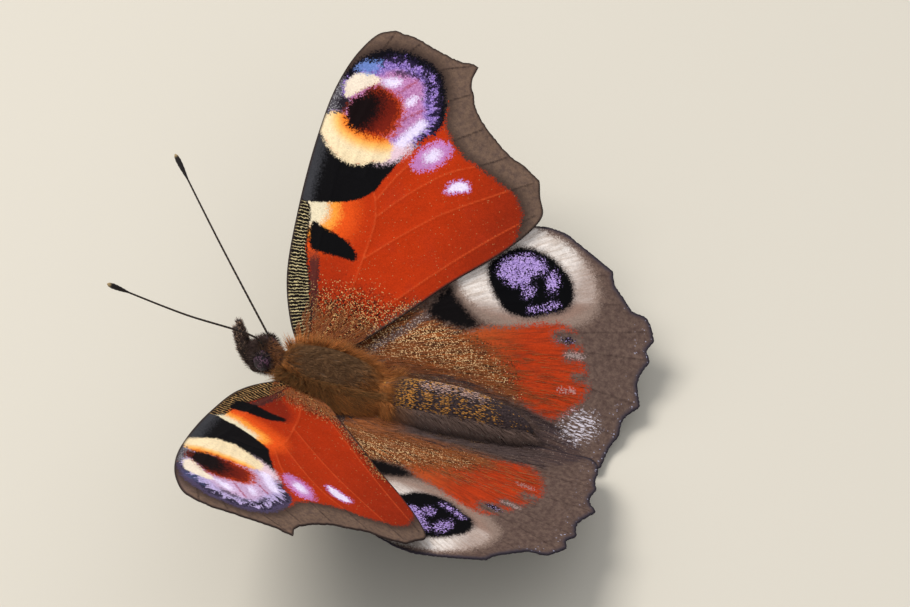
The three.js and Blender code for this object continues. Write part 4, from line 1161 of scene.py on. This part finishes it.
WALKING_RADII = (0.42, 0.4, 0.26, 0.17, 0.15, 0.15, 0.12)
LEGS = {
    # start (x, y), degrees from straight left towards the tail, path (distance out, height), radii
    "leg_mid": ((1.0, -0.9), -32, [(0, 3.35), (0.5, 2.1), (3.3, 2.75), (5.3, 0.62), (5.9, 0.26), (6.6, 0.16),
                                   (8.4, 0.13)], WALKING_RADII),
    "leg_hind": ((0.95, 1.9), 52, [(0, 3.3), (0.5, 2.0), (3.9, 2.5), (6.6, 0.62), (7.3, 0.26), (8.1, 0.16),
                                   (9.9, 0.13)], WALKING_RADII),
    "leg_fore": ((0.85, -3.0), -68, [(0, 4.6), (0.5, 3.5), (1.9, 3.9), (1.5, 2.6)], (0.3, 0.3, 0.22, 0.1)),
}


def in_steps(values):
    """Each step between values cut into four."""
    return np.concatenate([np.linspace(p, q, 5)[:-1] for p, q in zip(values, values[1:])] + [values[-1:]])


def legs():
    look = Look("leg", roughness=0.6)
    pick, _, distance = look.cells(look.vector("where"), 8.0)
    look.bump(distance, 0.00003, 0.5)
    material = look.colour(look.mix((54, 42, 34), (96, 76, 58), pick.ramp(0.55, 0.75)))
    for name, (start, turn, path, radii) in LEGS.items():
        a = math.radians(turn)
        out, height = np.array(path).T
        flat = np.c_[out * math.cos(a) + start[0], out * math.sin(a) + start[1], height + FLOOR]
        points, sizes = [flat[0]], [radii[0]]
        # the corner at each joint is cut
        for i in range(1, len(flat) - 1):
            for other in (i - 1, i + 1):
                d = flat[other] - flat[i]
                points.append(flat[i] + d * min(0.22 / np.linalg.norm(d), 0.3))
                sizes.append(radii[i])
        points.append(flat[-1])
        sizes.append(radii[-1])
        p, faces, _ = tube(in_steps(points), in_steps(sizes), 12, np.array([-math.sin(a), math.cos(a), 0]))
        p[:, 2] = np.maximum(p[:, 2], FLOOR)
        for side, s in SIGN.items():
            limb(name, side, p, faces, material, {"where": p * s})


# ---- the butterfly

fore_materials = [fore_top(), wing_under()]
hind_materials = [hind_top(), fore_materials[1]]
for side in SIGN:
    wing("fore", side, fore_shapes, fore_materials)
    wing("hind", side, hind_shapes, hind_materials)
    wing_coat("fore", side)
    wing_coat("hind", side)
body_skin()
thorax_coat()
abdomen_coat()
head_coat()
eyes()
antennae()
palps()
tongue()
legs()

# ---- floor, light and camera

bpy.ops.mesh.primitive_plane_add(size=1.6, location=(0, 0, 0))
floor = bpy.context.object
floor.name = "floor"
floor.data.materials.append(Look("floor", roughness=0.9, specular=0.1).colour((206, 200, 188)))

world = bpy.data.worlds.new("studio")
world.use_nodes = True
background = world.node_tree.nodes["Background"]
background.inputs["Color"].default_value = (0.95, 0.97, 1.0, 1)
background.inputs["Strength"].default_value = 0.62
bpy.context.scene.world = world


def area(name, at, aim, size, watts, tint):
    data = bpy.data.lights.new(name, "AREA")
    data.size, data.energy, data.color = size, watts, tint
    lamp = bpy.data.objects.new(name, data)
    lamp.location = Vector(at)
    lamp.rotation_euler = (Vector(aim) - Vector(at)).to_track_quat("-Z", "Y").to_euler()
    bpy.context.collection.objects.link(lamp)


area("key", (-0.02, -0.28, 0.5), (0, 0, 0.01), 0.3, 2.6, (1.0, 0.97, 0.92))
area("fill", (0.5, 0.3, 0.3), (0, 0, 0.01), 0.5, 0.7, (0.95, 0.98, 1.0))

# the camera's place in the body's frame, and the directions to its right and ahead of it
CAMERA = np.array([264.48, 77.39, 245.46])
RIGHT = Vector((-0.245, 0.970, 0.0))
FORWARD = Vector((-0.733, -0.185, -0.654))
SENSOR = 36
FOCAL_PIXELS = 4500
PICTURE_WIDTH = 910
camera = bpy.data.cameras.new("camera")
camera.lens = SENSOR * FOCAL_PIXELS / PICTURE_WIDTH
camera.sensor_width = SENSOR
camera.clip_start = 0.01
camera.clip_end = 10
eye = bpy.data.objects.new("camera", camera)
bpy.context.collection.objects.link(eye)
forward = FORWARD.normalized()
right = (RIGHT - forward * RIGHT.dot(forward)).normalized()
up = right.cross(forward)
turn = Matrix((right, up, -forward)).transposed()
eye.matrix_world = Matrix.Translation(Vector(row(CAMERA))) @ turn.to_4x4()
bpy.context.scene.camera = eye
bpy.context.scene.view_settings.view_transform = "Standard"
